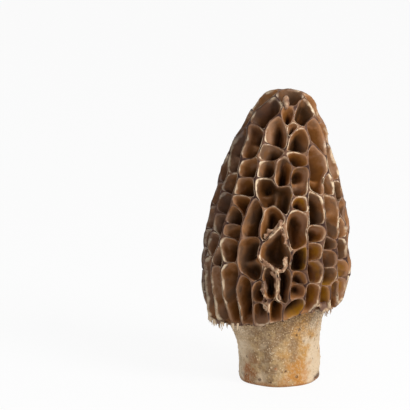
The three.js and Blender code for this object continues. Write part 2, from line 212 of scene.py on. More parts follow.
def to_plane(longitude, height):
    """Where a place on the cap lies in the flat plane that the layout is made in."""
    z = height
    for _ in range(6):
        z = height - margin_shift(longitude, z)
    rho = math.exp(-np.interp(z, LEVEL, TURN) * STRETCH)
    a = math.radians(longitude)
    return np.array([rho * math.sin(a), -rho * math.cos(a)])


def on_envelope(plane):
    """Points of the envelope that the rib crests reach, from points of the plane."""
    x, y = plane[..., 0], plane[..., 1]
    turn = -np.log(np.maximum(np.hypot(x, y), 1e-9)) / STRETCH
    a = np.arctan2(x, -y)
    longitude = np.degrees(a)
    level = np.interp(turn, TURN, LEVEL)
    z = level + margin_shift(longitude, level)
    r = np.interp(turn, TURN, GIRTH) * (1 + 0.012 * np.cos(2 * (a - 1.2)) + 0.01 * np.cos(3 * a + 0.5))
    for swell, height, tall, middle, wide in BULGES:
        r = r + swell * np.exp(-(((z - height) / tall) ** 2) - ((longitude - middle) / wide) ** 2)
    return np.stack([lean(z) + r * np.sin(a), -r * np.cos(a), z], -1)


def on_cap(places):
    """Points of the envelope at (longitude, height) places."""
    return on_envelope(np.array([to_plane(*place) for place in places]))


def unit(v):
    return v / np.maximum(np.linalg.norm(v, axis=-1, keepdims=True), 1e-12)


def outward_at(plane):
    """The way out of the envelope at points of the plane."""
    h = 0.02 * np.maximum(np.hypot(plane[..., 0], plane[..., 1]), 0.01)[..., None]
    across = on_envelope(plane + h * [1, 0]) - on_envelope(plane - h * [1, 0])
    along = on_envelope(plane + h * [0, 1]) - on_envelope(plane - h * [0, 1])
    return unit(np.cross(across, along))


def random_numbers(seed):
    while True:
        seed = (seed * 1664525 + 1013904223) % 4294967296
        yield seed / 4294967296


def filed_pits():
    """The pits of the back, in staggered files with a little chance in their places."""
    random = random_numbers(FILE_SEED)

    def between(low, high):
        return low + (high - low) * next(random)

    pits = []
    file, longitude = 0, FILES["first"]
    while longitude < FILES["last"]:
        early = FILE_CHANCE["start"]
        z = FILES["lowest"] + (file % 2) * FILES["stagger"] + between(-early, early)
        while z < FILES["tops"][file % len(FILES["tops"])]:
            wide = FILE_CHANCE["longitude"]
            pits.append([(longitude + between(-wide, wide), z)])
            z += between(*next(step for top, step in FILE_RUNGS if z < top))
        file, longitude = file + 1, longitude + FILES["spacing"]
    return pits


def cut(polygon, normal, limit, label):
    """Keeps the part of a polygon of (corner, label of the side that leaves it) where n.p <= limit."""
    over = [float(corner @ normal) - limit for corner, _ in polygon]
    if max(over) <= 0:
        return polygon
    kept = []
    for k, (corner, side) in enumerate(polygon):
        n = (k + 1) % len(polygon)
        if over[k] <= 0:
            kept.append((corner, side))
        if (over[k] <= 0) != (over[n] <= 0):
            crossing = corner + (polygon[n][0] - corner) * over[k] / (over[k] - over[n])
            kept.append((crossing, label if over[k] <= 0 else side))
    return kept


@lru_cache
def cap_cells():
    """Each lobe's pit and its Voronoi cell in the plane."""
    pits = [*CROWN_PITS, *UPPER_PITS, *MIDDLE_PITS, *LOWER_PITS, *filed_pits()]
    lobes = [(k, to_plane(*place)) for k, pit in enumerate(pits) for place in pit]
    places = np.array([p for _, p in lobes])
    cells = []
    for pit, p in lobes:
        polygon = [(np.array(corner, float), "frame") for corner in ((-2, -2), (2, -2), (2, 2), (-2, 2))]
        for j in np.argsort(((places - p) ** 2).sum(1))[1:NEAREST]:
            polygon = cut(polygon, places[j] - p, (places[j] @ places[j] - p @ p) / 2, int(j))
        for m in range(MARGIN_SIDES):
            a = 2 * math.pi * (m + 0.5) / MARGIN_SIDES
            normal = np.array([math.cos(a), math.sin(a)])
            polygon = cut(polygon, normal, math.cos(math.pi / MARGIN_SIDES), -1 - m)
        cells.append((pit, polygon))
    return cells


@lru_cache
def design_shift():
    """From the layout's own coordinates, in mm, to the model's."""
    corners = on_envelope(np.array([corner for _, polygon in cap_cells() for corner, _ in polygon]))
    low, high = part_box("cap")
    middle = (corners.min(0) + corners.max(0)) / 2
    return np.array([(low.x + high.x) / 2 / MM - middle[0], (low.y + high.y) / 2 / MM - middle[1], 0])


# ----------------------------------------
# Meshes and node trees.


def placed(name, data):
    """A new object in the scene."""
    made = bpy.data.objects.new(name, data)
    bpy.context.scene.collection.objects.link(made)
    return made


def mesh_object(name, points, faces, **attributes):
    """A new smooth mesh from points in mm, whose attributes have a number or a vector for each point.

    Points that no face uses are left out.
    """
    used = np.unique(np.concatenate([np.array(face) for face in faces]))
    place = np.zeros(len(points), int)
    place[used] = np.arange(len(used))
    faces = [tuple(place[list(face)].tolist()) for face in faces]
    mesh = bpy.data.meshes.new(name)
    mesh.from_pydata(((np.asarray(points)[used] + design_shift()) * MM).tolist(), [], faces)
    for label, values in attributes.items():
        kind, field = ("FLOAT", "value") if values.ndim == 1 else ("FLOAT_VECTOR", "vector")
        mesh.attributes.new(label, kind, "POINT").data.foreach_set(field, np.ravel(values[used]))
    mesh.polygons.foreach_set("use_smooth", [True] * len(mesh.polygons))
    mesh.update()
    return placed(name, mesh)


def bridge(outer, inner):
    """Faces between two closed rings, each given by the numbers of its points."""
    return zip(outer, np.roll(outer, -1), np.roll(inner, -1), inner)


def wander(points, size, seed):
    """Smooth vectors that wander over lengths of about size, one for each point.

    Each use of it and of undulate has its own seed.
    """
    noise.seed_set(NOISE_SEED)  # its vectors differ from run to run until they are given a seed
    offset = Vector((seed * 17.3, seed * 5.1, seed * 9.7))
    return np.array([noise.noise_vector(Vector(p) / size + offset) for p in points])


def undulate(points, size, seed):
    """Smooth numbers from about -1 to 1, one for each point."""
    offset = Vector((seed * 7.9, seed * 13.3, seed * 3.7))
    return np.array([noise.noise(Vector(p) / size + offset) for p in points])


class NodeTree:
    """Short ways to build a node tree."""

    def __init__(self, tree):
        self.tree = tree

    def add(self, kind, **values):
        """A new node. Names in small letters are its settings, and the others are its inputs."""
        made = self.tree.nodes.new(kind)
        for key, value in values.items():
            if key[0].islower():
                setattr(made, key, value)
            else:
                self.feed(made, key, value)
        return made

    def feed(self, made, key, value):
        """Gives a value or a link to an input, found by its name or by its number as in _0."""
        if key[1:].isdigit():
            socket = made.inputs[int(key[1:])]
        else:
            socket = next(s for s in made.inputs if s.enabled and s.name == key.replace("_", " "))
        self.give(socket, value)

    def give(self, socket, value):
        if isinstance(value, bpy.types.NodeSocket):
            self.tree.links.new(value, socket)
        else:
            socket.default_value = value

    def math(self, operation, a, b, clamp=False):
        return self.add("ShaderNodeMath", operation=operation, use_clamp=clamp, _0=a, _1=b).outputs[0]

    def plus(self, a, b, clamp=False):
        return self.math("ADD", a, b, clamp)

    def minus(self, a, b):
        return self.math("SUBTRACT", a, b)

    def times(self, a, b):
        return self.math("MULTIPLY", a, b)

    def vector(self, operation, a, b):
        return self.add("ShaderNodeVectorMath", operation=operation, _0=a, _1=b).outputs["Vector"]

    def scaled(self, vector, factor):
        return self.add("ShaderNodeVectorMath", operation="SCALE", _0=vector, Scale=factor).outputs["Vector"]

    def noise(self, place, scale, detail, distortion=0):
        made = self.add("ShaderNodeTexNoise", Vector=place, Scale=scale, Detail=detail, Distortion=distortion)
        return made.outputs[0]

    def curve(self, value, points):
        made = self.add("ShaderNodeFloatCurve", Value=value)
        line = made.mapping.curves[0]
        line.points[0].location, line.points[1].location = points[0], points[-1]
        for point in points[1:-1]:
            line.points.new(*point)
        made.mapping.update()
        return made.outputs[0]

    def mix(self, kind, factor, a, b):
        made = self.add("ShaderNodeMix", data_type=kind)
        for socket, value in zip([s for s in made.inputs if s.enabled], (factor, a, b)):
            self.give(socket, value)
        return next(s for s in made.outputs if s.enabled)

    def ranged(self, value, low, high, to_low=0, to_high=1):
        """Goes smoothly from to_low to to_high while a value goes from low to high."""
        made = self.add(
            "ShaderNodeMapRange", interpolation_type="SMOOTHSTEP", Value=value, From_Min=low, From_Max=high,
            To_Min=to_low, To_Max=to_high)
        return made.outputs["Result"]

    def height(self, place):
        return self.add("ShaderNodeSeparateXYZ", Vector=place).outputs["Z"]


class ShapeTree(NodeTree):
    """A geometry node tree with named inputs, which are numbers, whole numbers and a material."""

    def __init__(self, name, numbers, counts):
        super().__init__(bpy.data.node_groups.new(name, "GeometryNodeTree"))
        kinds = {
            "Geometry": "Geometry", "Material": "Material",
            **dict.fromkeys(numbers, "Float"), **dict.fromkeys(counts, "Int"),
        }
        for label, kind in kinds.items():
            self.tree.interface.new_socket(label, in_out="INPUT", socket_type="NodeSocket" + kind)
        self.tree.interface.new_socket("Geometry", in_out="OUTPUT", socket_type="NodeSocketGeometry")
        self.given = self.add("NodeGroupInput").outputs
        self.shape = self.given["Geometry"]

    def attribute(self, name, kind="FLOAT"):
        return self.add("GeometryNodeInputNamedAttribute", data_type=kind, Name=name).outputs["Attribute"]

    def position(self):
        return self.add("GeometryNodeInputPosition").outputs[0]

    def move(self, selection=True, **change):
        """Moves the selected points by an Offset or to a Position."""
        made = self.add("GeometryNodeSetPosition", Geometry=self.shape, Selection=selection, **change)
        self.shape = made.outputs["Geometry"]

    def wave(self, scale, detail, seed):
        """A noise from about -0.5 to 0.5 over the points' positions."""
        place = self.vector("ADD", self.position(), self.scaled((0.13, 0.37, 0.71), seed))
        return self.minus(self.noise(place, scale, detail), 0.5)

    def finish(self):
        real = self.add("GeometryNodeRealizeInstances", Geometry=self.shape)
        smooth = self.add("GeometryNodeSetShadeSmooth", _0=real.outputs[0])
        painted = self.add("GeometryNodeSetMaterial", _0=smooth.outputs[0], Material=self.given["Material"])
        self.add("NodeGroupOutput", Geometry=painted.outputs[0])
        return self.tree


def grow(piece, tree, sizes, **others):
    """Runs a geometry node tree on a piece and keeps the result as its plain mesh.

    An input that isn't among the others has the value of the size of the same name.
    """
    modifier = piece.modifiers.new(tree.name, "NODES")
    modifier.node_group = tree
    for item in tree.interface.items_tree:
        key = item.name.lower().replace(" ", "_")
        if item.in_out == "INPUT" and key != "geometry":
            modifier[item.identifier] = others[key] if key in others else getattr(sizes, key)
    mesh = bpy.data.meshes.new_from_object(piece.evaluated_get(bpy.context.evaluated_depsgraph_get()))
    piece.modifiers.remove(modifier)
    old, piece.data = piece.data, mesh
    bpy.data.meshes.remove(old)


def settle(piece, slot, *nodes):
    """Attaches a finished piece to the body, and hides the model's parts that it stands for."""
    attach(piece, BODY)
    if nodes:
        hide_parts(*nodes)


def rgb(colour):
    """A hexadecimal colour as the three linear values that nodes work with."""
    parts = [int(colour[k:k + 2], 16) / 255 for k in (0, 2, 4)]
    return tuple(c / 12.92 if c <= 0.04045 else ((c + 0.055) / 1.055) ** 2.4 for c in parts)


class Finish(NodeTree):
    """A node-based material on Object coordinates, mixed from a piece's named colours."""

    def __init__(self, name, colours):
        self.material = bpy.data.materials.new(name)
        self.material.use_nodes = True
        super().__init__(self.material.node_tree)
        self.colours = colours
        self.place = self.add("ShaderNodeTexCoord").outputs["Object"]

    def speckle(self, scale, detail, low, high, distortion=0):
        """Patches of 0 and 1, with soft edges where a noise goes from low to high."""
        return self.ranged(self.noise(self.place, scale, detail, distortion), low, high)

    def sway(self, amount, scale, detail, low, high):
        """A number that sways by an amount about 0."""
        return self.times(self.minus(self.speckle(scale, detail, low, high), 0.5), amount)

    def attribute(self, name):
        return self.add("ShaderNodeAttribute", attribute_name=name).outputs["Fac"]

    def layers(self, shade, *layers):
        """Lays colours over a first one. Each is how much of it, and its name or a link."""
        def found(colour):
            return tuple(getattr(self.colours, colour)) + (1,) if isinstance(colour, str) else colour

        for factor, colour in layers:
            shade = self.mix("RGBA", factor, found(shade), found(colour))
        return shade

    def paint(self, colour, height, distance, strength, roughness, gloss):
        """Gives the shader its colour, its bumps from a height of 0 to 1, and its shine."""
        bump = self.add("ShaderNodeBump", Height=height, Distance=distance, Strength=strength)
        shader = self.tree.nodes["Principled BSDF"]
        for key, value in (("Base_Color", colour), ("Normal", bump.outputs[0]), ("Roughness", roughness),
                           ("Specular_IOR_Level", gloss)):
            self.feed(shader, key, value)
        return self.material


def near_spot(f, place, reach, ragged, stretch=(1, 1, 1)):
    """1 at a place, 0 further off than reach, all in mm."""
    shifted = f.vector("SUBTRACT", f.place, tuple((np.array(place) + design_shift()) * MM))
    away = f.add("ShaderNodeVectorMath", operation="LENGTH", _0=f.vector("MULTIPLY", shifted, stretch))
    blot = f.sway(ragged * reach * MM, 420, 4, 0.2, 0.8)
    return f.ranged(f.plus(away.outputs["Value"], blot), reach * MM, 0.35 * reach * MM)


def near_places(f, places):
    """1 near any of the places on the cap (longitude, height and reach), and 0 away from them."""
    found = 0.0
    for *place, reach in places:
        found = f.math("MAXIMUM", found, near_spot(f, on_cap([place])[0], reach, 0.4))
    return found


def a_length(name, description, value, least=0):
    """A length property, from mm."""
    return FloatProperty(
        name=name, description=description, default=value * MM, min=least * MM, unit="LENGTH")


def a_number(name, description, value, most=100):
    return FloatProperty(name=name, description=description, default=value, min=0, max=most)


def a_count(name, description, value):
    return IntProperty(name=name, description=description, default=value, min=0)


def a_colour(name, description, value):
    return FloatVectorProperty(
        name=name, description=description, subtype="COLOR", size=3, min=0, max=1, default=rgb(value))


# ----------------------------------------
# The cap's net of crests.

CROWN = 18.0  # how far down from the apex the cross ribs stay high
RUNG_DROP = 2.4  # how far a cross rib sags in its middle
EDGE_DROP = 0.5  # the same of the lower edge
CREST_INSET = 0.6  # how far below the model's envelope the crests lie on average
TORN_REACH = 1.15  # how far to each side of its line a torn rib stands up
TORN_RISE = 1.25  # how far it does


class Net:
    """The crest lines of the cap: points shared by neighbouring pits, and a closed loop for each pit."""

    def __init__(self, step):
        self.step = step
        self.rows, self.named, self.sides = [], {}, {}
        cells = cap_cells()
        loops = [self.cell_loop(k, polygon) for k, (_, polygon) in enumerate(cells)]
        plane, self.low, self.edge, self.upright = (np.array(column) for column in zip(*self.rows))
        self.out, self.points = outward_at(plane), on_envelope(plane)
        self.pits = []
        for pit in range(1 + max(pit for pit, _ in cells)):
            lobes = [loop for (owner, _), loop in zip(cells, loops) if owner == pit]
            spine = np.array([self.points[loop].mean(0) for loop in lobes])
            self.pits.extend((outline, spine) for outline in outlines(lobes))

    def point(self, *row):
        """Keeps a point: its place, sag in mm, whether the lower edge has it, and how upright its rib is."""
        self.rows.append(row)
        return len(self.rows) - 1

    def corner(self, name, p):
        if name not in self.named:
            self.named[name] = self.point(p, 0.0, min(name) < 0, 1.0)
        return self.named[name]

    def cell_loop(self, cell, polygon):
        ids = []
        for k, (p, label) in enumerate(polygon):
            onward, after = polygon[(k + 1) % len(polygon)]
            start = tuple(sorted((cell, polygon[k - 1][1], label)))
            end = tuple(sorted((cell, label, after)))
            ids.append(self.corner(start, p))
            key = (min(start, end), max(start, end))
            if key not in self.sides:
                side = self.side(label, p, onward)
                self.sides[key] = side if start == key[0] else side[::-1]
            ids.extend(self.sides[key] if start == key[0] else reversed(self.sides[key]))
        return ids

    def side(self, label, start, end):
        """Points between two corners. A cross rib sags more than an upright one."""
        a, b = on_envelope(np.array([start, end]))
        length = np.linalg.norm(b - a)
        steps = max(1, round(length / self.step))
        out = outward_at((start + end) / 2)
        upright = abs((b - a) @ unit(UP - out * out[2])) / max(length, 1e-6)
        chance = 0.9 + 1.4 * noise.noise(Vector((a + b) / 2))
        drop = RUNG_DROP * chance * (1 - upright) * min(1.0, (HEIGHT - a[2]) / CROWN)
        if label < 0:
            drop = EDGE_DROP
        return [
            self.point(start + (end - start) * t, drop * math.sin(math.pi * t) ** 0.6, label < 0, upright)
            for t in np.arange(1, steps) / steps
        ]


def outlines(lobes):
    """The closed loops round joined cells: every side but those that two of them share."""
    after = dict.fromkeys(side for loop in lobes for side in zip(loop, loop[1:] + loop[:1]))
    onward = {a: b for a, b in after if (b, a) not in after}
    found = []
    while onward:
        start, here = onward.popitem()
        loop = [start]
        while here != start:
            loop.append(here)
            here = onward.pop(here)
        found.append(loop)
    return found


def shaped_net(sizes):
    """The net with wandering, uneven crests, and how far torn ribs swell at each point."""
    net = Net(sizes.outline_step / MM)
    away = np.full(len(net.points), np.inf)
    for line in TORN_RIBS:
        places = on_cap(line)
        for a, b in zip(places, places[1:]):
            t = np.clip((net.points - a) @ (b - a) / ((b - a) @ (b - a)), 0, 1)
            away = np.minimum(away, np.linalg.norm(net.points - a - (b - a) * t[:, None], axis=1))
    ragged = np.maximum(1 + 1.6 * undulate(net.points, 2.0, 16), 0.25)
    net.swell = TORN_RISE * ragged * np.exp(-((away / TORN_REACH) ** 2))
    uneven = 1 + 1.3 * undulate(net.points, 5.0, 6) + 0.5 * undulate(net.points, 1.6, 7)
    net.width = (0.3 + 0.8 * net.upright) * np.maximum(uneven, 0.2) + 0.4 * net.swell
    aside = 0.5 * wander(net.points, 4.2, 1) + 0.22 * wander(net.points, 1.5, 2)
    aside -= net.out * (aside * net.out).sum(1, keepdims=True)
    aside[net.edge, 2] += 0.5 * undulate(net.points[net.edge], 2.6, 3)
    uneven = 0.8 * undulate(net.points, 5.5, 4) + 0.25 * undulate(net.points, 1.3, 5)
    net.points = net.points + aside + net.out * (uneven + net.swell - net.low - CREST_INSET)[:, None]
    return net


# ----------------------------------------
# The cap's pits.

WALL_STEPS = (0.1, 0.24, 0.44, 0.7, 1.05)  # mm in from a pit's rim
RIM_SHARE = 0.28  # the most of a pit's half width that half a crest takes
WALLS_SHARE = 0.6  # the most of what is left that the wall's steps take
FLOOR_GAP = 0.45  # the least distance of a floor's points from its wall, in floor steps
AXIS_SHARE = 0.42  # how much of the way to a line AXIS_BEYOND past the cap's axis a pit may reach
AXIS_BEYOND = 4.0
TOP_DEPTH = 5.5  # how much deeper a pit at the very top may be
LEAST_FALL = 1.5  # from a sagging crest to the pit's floor
FOLD_REACH = 2.5  # how near to a place of FOLDS the border of two lobes becomes a low wall
FOLD_WIDTH = 1.3  # half the thickness of such a wall
FOLD_SPAN = 4.5  # half its length
TOP_PIT_PAINTED_SHADE = 0.8  # how much darker, as painted shade, a pit that faces straight up is than others
PAINTED_PIT_SHADE = 0.4  # how much darker, as painted shade, the pits near the listed places are


def area_of(loop):
    spokes = loop - loop.mean(0)
    return np.linalg.norm(np.cross(spokes, np.roll(spokes, -1, 0)).sum(0)) / 2


def smoothed(loop, times):
    for _ in range(times):
        loop = loop / 2 + (np.roll(loop, 1, 0) + np.roll(loop, -1, 0)) / 4
    return loop


def facing_in(loop, out):
    """For each point of a closed loop on a surface, the way to its inside."""
    return unit(np.cross(out, np.roll(loop, -1, 0) - np.roll(loop, 1, 0)))


def inside_loop(points, loop):
    """How far points of a plane are inside a closed loop, and below 0 outside it."""
    span = (np.roll(loop, -1, 0) - loop)[None]
    to = points[:, None] - loop[None]
    t = np.clip((to * span).sum(-1) / (span**2).sum(-1), 0, 1)
    away = np.linalg.norm(to - span * t[..., None], axis=-1).min(1)
    above = to[..., 1] < 0
    crossed = above != (to[..., 1] < span[..., 1])
    rise = np.where(span[..., 1] == 0, 1, span[..., 1])
    beyond = to[..., 0] < to[..., 1] / rise * span[..., 0]
    return np.where((crossed & beyond).sum(1) % 2 == 1, away, -away)


def spots_over(loop, gap):
    """A lattice of points of a plane, gap apart, over the box of a loop."""
    low, high = loop.min(0), loop.max(0)
    return np.array([
        (x + row % 2 * gap / 2, y)
        for row, y in enumerate(np.arange(low[1], high[1], gap * 0.87))
        for x in np.arange(low[0], high[0], gap)
    ])


def triangulation(loop, spots=()):
    """The points, faces and so on that fill a closed loop of a plane, with spots inside it."""
    points = [Vector(p) for p in (*loop, *spots)]
    return delaunay_2d_cdt(points, [], [list(range(len(loop)))], 1, 1e-7)


class Pit:
    """One pit's skin before it is pressed in: crest, rim, rings down the wall and the floor."""

    def __init__(self, net, ids, spine, sizes):
        loop, out = net.points[ids], net.out[ids]
        self.centre, self.axis, self.spine = loop.mean(0), unit(out.mean(0)), spine
        self.uphill = unit(UP - self.axis * self.axis[2])
        self.sheet = np.array([np.cross(self.uphill, self.axis), self.uphill])
        turn = 4 * math.pi * noise.noise(Vector(self.centre) / 3 + Vector((40, 0, 0)))
        self.deep_way = math.cos(turn) * self.uphill + math.sin(turn) * self.sheet[0]
        self.reach = abs((loop - self.centre) @ self.deep_way).max()
        edge = self.edge(loop, out, net.width[ids], sizes)
        rise = sizes.crest_rise / MM * (1 + 0.6 * undulate(loop, 1.2, 9))
        self.crest, self.rim = (loop + edge) / 2, edge + out * rise[:, None]
        spots = spots_over(self.flat(edge), sizes.floor_step / MM)
        away = inside_loop(spots, self.flat(edge))
        self.room = away.max()
        self.rings = self.walls(edge, out)
        self.lay_floor(spots, away, out, FLOOR_GAP * sizes.floor_step / MM)
        beyond = math.hypot(self.centre[0] - lean(self.centre[2]), self.centre[1]) + AXIS_BEYOND
        most = AXIS_SHARE * beyond + TOP_DEPTH * max(self.axis[2], 0) ** 2
        depth = max(sizes.pit_depth * math.sqrt(area_of(loop)), sizes.shallowest / MM)
        self.depth = min(depth, sizes.deepest / MM, most)

    def edge(self, loop, out, widths, sizes):
        """The inner edge of the crests round the pit, from the lines along their middles."""
        width = sizes.crest_width / MM / 2 * smoothed(widths[:, None], 3)[:, 0]
        room = inside_loop(spots_over(self.flat(loop), 0.5), self.flat(loop)).max()
        width = np.minimum(width, RIM_SHARE * room)
        return smoothed(loop + facing_in(loop, out) * width[:, None], sizes.corner_rounding)

    def walls(self, ring, out):
        """Rings further and further in from an edge, each with its distance from it."""
        step = min(1.0, WALLS_SHARE * self.room / WALL_STEPS[-1])
        rings = []
        for last, reach in zip((0, *WALL_STEPS), WALL_STEPS):
            ring = smoothed(ring + facing_in(ring, out) * (reach - last) * step, 2)
            while len(triangulation(self.flat(ring))[0]) != len(ring):  # it crosses itself
                ring = smoothed(ring, 4)
            rings.append((ring, reach * step))
        return rings

    def lay_floor(self, spots, away, out, gap):
        """Points over the middle, and triangles between the last ring, which comes first, and them."""
        ring = self.rings[-1][0]
        inner = self.flat(ring)
        kept = inside_loop(spots, inner) > gap
        spots, self.spots_away = spots[kept], away[kept]
        weight = 1 / ((spots[:, None] - inner[None]) ** 2).sum(-1)
        self.spread = weight / weight.sum(1, keepdims=True)
        lift = self.spread @ ((ring - self.centre) @ self.axis)
        self.floor = self.centre + spots @ self.sheet + lift[:, None] * self.axis
        self.floor_out = unit(self.spread @ out) if len(spots) else np.zeros((0, 3))
        found = triangulation(inner, spots)
        self.floor_faces = [tuple(found[3][k][0] for k in face) for face in found[2]]

    def flat(self, points):
        return (points - self.centre) @ self.sheet.T

    def slope(self, points):
        """1 at the side where the pit's floor is deepest, -1 at the other side."""
        return (points - self.centre) @ self.deep_way / self.reach

    def saddle(self, points):
        """1 on the low walls between the pit's lobes, 0 well away from them."""
        found = np.zeros(len(points))
        for a, b in zip(self.spine, self.spine[1:]):
            middle, along = (a + b) / 2, unit(b - a)
            if np.linalg.norm(on_cap(FOLDS) - middle, axis=1).min() > FOLD_REACH:
                continue
            beside = (points - middle) @ along
            apart = np.linalg.norm(points - middle - beside[:, None] * along, axis=1)
            found = np.maximum(found, np.exp(-((beside / FOLD_WIDTH) ** 2) - (apart / FOLD_SPAN) ** 4))
        return found


# What each point of the cap's mesh keeps for the pit tree and the finish: ways, and then numbers.
WAYS = ("out", "tilt")
NUMBERS = ("down", "torn", "tint", "away", "share", "fall", "slope", "saddle", "broad")


def cap_mesh(sizes):
    """The cap before its pits are pressed in: crests, pits, underside and hollow."""
    net = shaped_net(sizes)
    points, faces = [], []
    values = {label: [] for label in (*WAYS, *NUMBERS)}

    def put(places, **given):
        """Adds points, with 0 for what isn't given, and returns their numbers."""
        first = sum(map(len, points))
        points.append(places)
        for label, parts in values.items():
            blank = np.zeros((len(places), 3) if label in WAYS else len(places))
            parts.append(blank + given.get(label, 0))
        return first + np.arange(len(places))

    def press(pit, places, out, **given):
        return put(places, out=out, tilt=pit.uphill, tint=pit.tint, slope=pit.slope(places),
                   saddle=pit.saddle(places), **given)

    put(net.points, out=net.out, tilt=net.out, down=-1, torn=net.swell, tint=0.5, broad=net.width)
    shaded_pits = on_cap(PAINTED_SHADE_PITS)
    for ids, spine in net.pits:
        pit = Pit(net, ids, spine, sizes)
        # Each pit's tone sways at random. Pits facing up and pits near the listed places are lowered further,
        # as painted shade.
        pit.tint = 0.5 + undulate([pit.centre], 2.3, 15)[0] - TOP_PIT_PAINTED_SHADE * max(pit.axis[2], 0) ** 3
        pit.tint -= PAINTED_PIT_SHADE * (np.linalg.norm(shaded_pits - pit.centre, axis=1).min() < PAINTED_SHADE_PIT_REACH)
        out, torn, broad = net.out[ids], net.swell[ids], net.width[ids]
        fall = np.maximum(pit.depth - net.low[ids], LEAST_FALL) * MM
        rings = [
            np.array(ids),
            press(pit, pit.crest, out, down=-0.5, torn=torn, broad=broad),
            press(pit, pit.rim, out, torn=torn, broad=broad),
        ]
        for ring, away in pit.rings:
            rings.append(press(pit, ring, out, down=0.5, torn=torn, away=away * MM, share=away / pit.room,
                               fall=fall, broad=1))
        press(pit, pit.floor, pit.floor_out, down=0.5, away=pit.spots_away * MM,
              share=pit.spots_away / pit.room, fall=pit.spread @ fall, broad=1)
        for outer, inner in zip(rings, rings[1:]):
            faces.extend(bridge(outer, inner))
        faces.extend(tuple(rings[-1][0] + k for k in face) for face in pit.floor_faces)
    put(close_underside(net, sum(map(len, points)), faces), down=2)
    values = {label: np.concatenate(parts) for label, parts in values.items()}
    return mesh_object("cap_flesh", np.concatenate(points), faces, **values)


# ----------------------------------------
# The cap's underside and hollow.

BORE_RADIUS = 9.5  # of the stem's hollow
NECK_RADIUS = BORE_RADIUS + 0.3  # of the cap's, where it meets the stem's
NECK_SPREAD = 0.45  # how fast it widens upwards
WALL = 9.6  # from the envelope to the hollow, round the middle
CAVITY_TOP = 79.0
DOME = 2.2  # how blunt the hollow's top is
STEM_AXIS_X = -0.2
# Rings of the underside: share of the way in to the neck, and how far below its even slope.
UNDERSIDE = ((0.05, 0.3), (0.16, 0.2), (0.35, 0), (0.6, 0), (0.8, 0), (1, 0))
UNDERSIDE_RISE = 1.5  # from the lower edge to the neck
HOLLOW_LEVELS = (24.5, 26, 28, 31, 35, 40, 46, 52, 58, 63, 67, 70, 73, 75.5, 77.4, 78.5)
HOLLOW_BUMPS = 0.5  # how uneven the hollow is, up to SMOOTH_TOP
SMOOTH_TOP = 77


def hollow_radius(z):
    wide = np.interp(z, LEVEL, GIRTH) - WALL
    neck = NECK_RADIUS + (z - MARGIN_HEIGHT) * NECK_SPREAD
    return min(wide, neck, math.sqrt(max(CAVITY_TOP - z, 0)) * DOME)


def close_underside(net, first, faces):
    """The points, from the first number on, and faces of the underside and the hollow."""
    ids = np.flatnonzero(net.edge)
    edge = net.points[ids]
    sideways = edge[:, 0] - lean(edge[:, 2])
    angle = np.arctan2(sideways, -edge[:, 1])
    order = np.argsort(-angle)
    ids, edge, angle = ids[order], edge[order], angle[order]
    radius, axis = np.hypot(sideways[order], edge[:, 1]), lean(edge[:, 2])
    count = len(ids)
    points, rings = [], [ids]

    def ring(r, x, z, bumps):
        place = np.stack([x + r * np.sin(angle), -r * np.cos(angle), z + 0 * angle], -1)
        rings.append(first + len(points) + np.arange(count))
        points.extend(place + bumps * wander(place, 3.0, 8))

    for t, sink in UNDERSIDE:
        r = radius + (NECK_RADIUS - radius) * t
        ring(r, axis + (STEM_AXIS_X - axis) * t, edge[:, 2] + UNDERSIDE_RISE * t * (2 - t) - sink, 0.15)
    for z in HOLLOW_LEVELS:
        ring(hollow_radius(z), lean(z), z, HOLLOW_BUMPS if z < SMOOTH_TOP else 0.1)
    for outer, inner in zip(rings, rings[1:]):
        faces.extend(bridge(outer, inner))
    faces.extend((a, b, first + len(points)) for a, b in zip(rings[-1], np.roll(rings[-1], -1)))
    return np.array([*points, [lean(CAVITY_TOP), 0, CAVITY_TOP]])


# ----------------------------------------
# The cap's skin.

GRAIN = (1500, 4)  # scale and detail of the finest unevenness


def pit_tree():
    """Presses each pit in, by how far inside its rim a point is, and roughens the skin."""
    t = ShapeTree("Pits", (
        "Wall Width", "Wall Share", "Saddles", "Pocket", "Tilt", "Floor Folds", "Fold Size", "Skin Relief",
        "Seed"), ("Softening",))
    given = t.given
    down, out, fall = t.attribute("down"), t.attribute("out", "FLOAT_VECTOR"), t.attribute("fall")
    inside = t.math("GREATER_THAN", fall, 0)
    wall = t.curve(t.math("DIVIDE", t.attribute("away"), given["Wall Width"], clamp=True),
                   [(0, 0), (0.1, 0.12), (0.4, 0.62), (0.7, 0.88), (1, 1)])
    middle = t.curve(t.attribute("share"), [(0, 0), (0.25, 0.12), (0.6, 0.66), (0.85, 0.95), (1, 1)])
    rest = t.times(middle, t.minus(1, given["Wall Share"]))
    sunk = t.plus(t.times(wall, given["Wall Share"]), rest)
    saddle = t.times(t.attribute("saddle"), t.times(given["Saddles"], wall))
    sunk = t.times(sunk, t.minus(1, saddle))
    sunk = t.times(sunk, t.plus(1, t.times(t.attribute("slope"), given["Pocket"])))
    kept = t.add("GeometryNodeStoreNamedAttribute", data_type="FLOAT", domain="POINT", Geometry=t.shape,
                 Name="down", Value=sunk, Selection=inside)
    t.shape = kept.outputs["Geometry"]
    # Ribs lean outwards and down, except near the lower edge.
    lower = t.scaled(t.attribute("tilt", "FLOAT_VECTOR"), given["Tilt"])
    lower = t.scaled(lower, t.ranged(t.height(t.position()), 0.024, 0.036))
    depth = t.times(down, fall)
    t.move(inside, Offset=t.scaled(t.vector("ADD", out, lower), t.times(depth, -1)))

    deep = t.times(t.curve(down, [(0, 0), (0.15, 0.15), (0.5, 0.8), (1, 1)]), inside)
    eased = t.add("GeometryNodeBlurAttribute", data_type="FLOAT_VECTOR", Value=t.position(),
                  Iterations=given["Softening"], Weight=deep)
    t.move(inside, Position=eased.outputs[0])
    fold = t.wave(t.math("DIVIDE", 1, given["Fold Size"]), 1.5, given["Seed"])
    t.move(inside, Offset=t.scaled(out, t.times(t.times(fold, given["Floor Folds"]), deep)))
    fine = t.times(t.wave(620, 3, t.plus(given["Seed"], 1)), given["Skin Relief"])
    t.move(Offset=t.scaled(t.add("GeometryNodeInputNormal").outputs[0], fine))
    return t.finish()


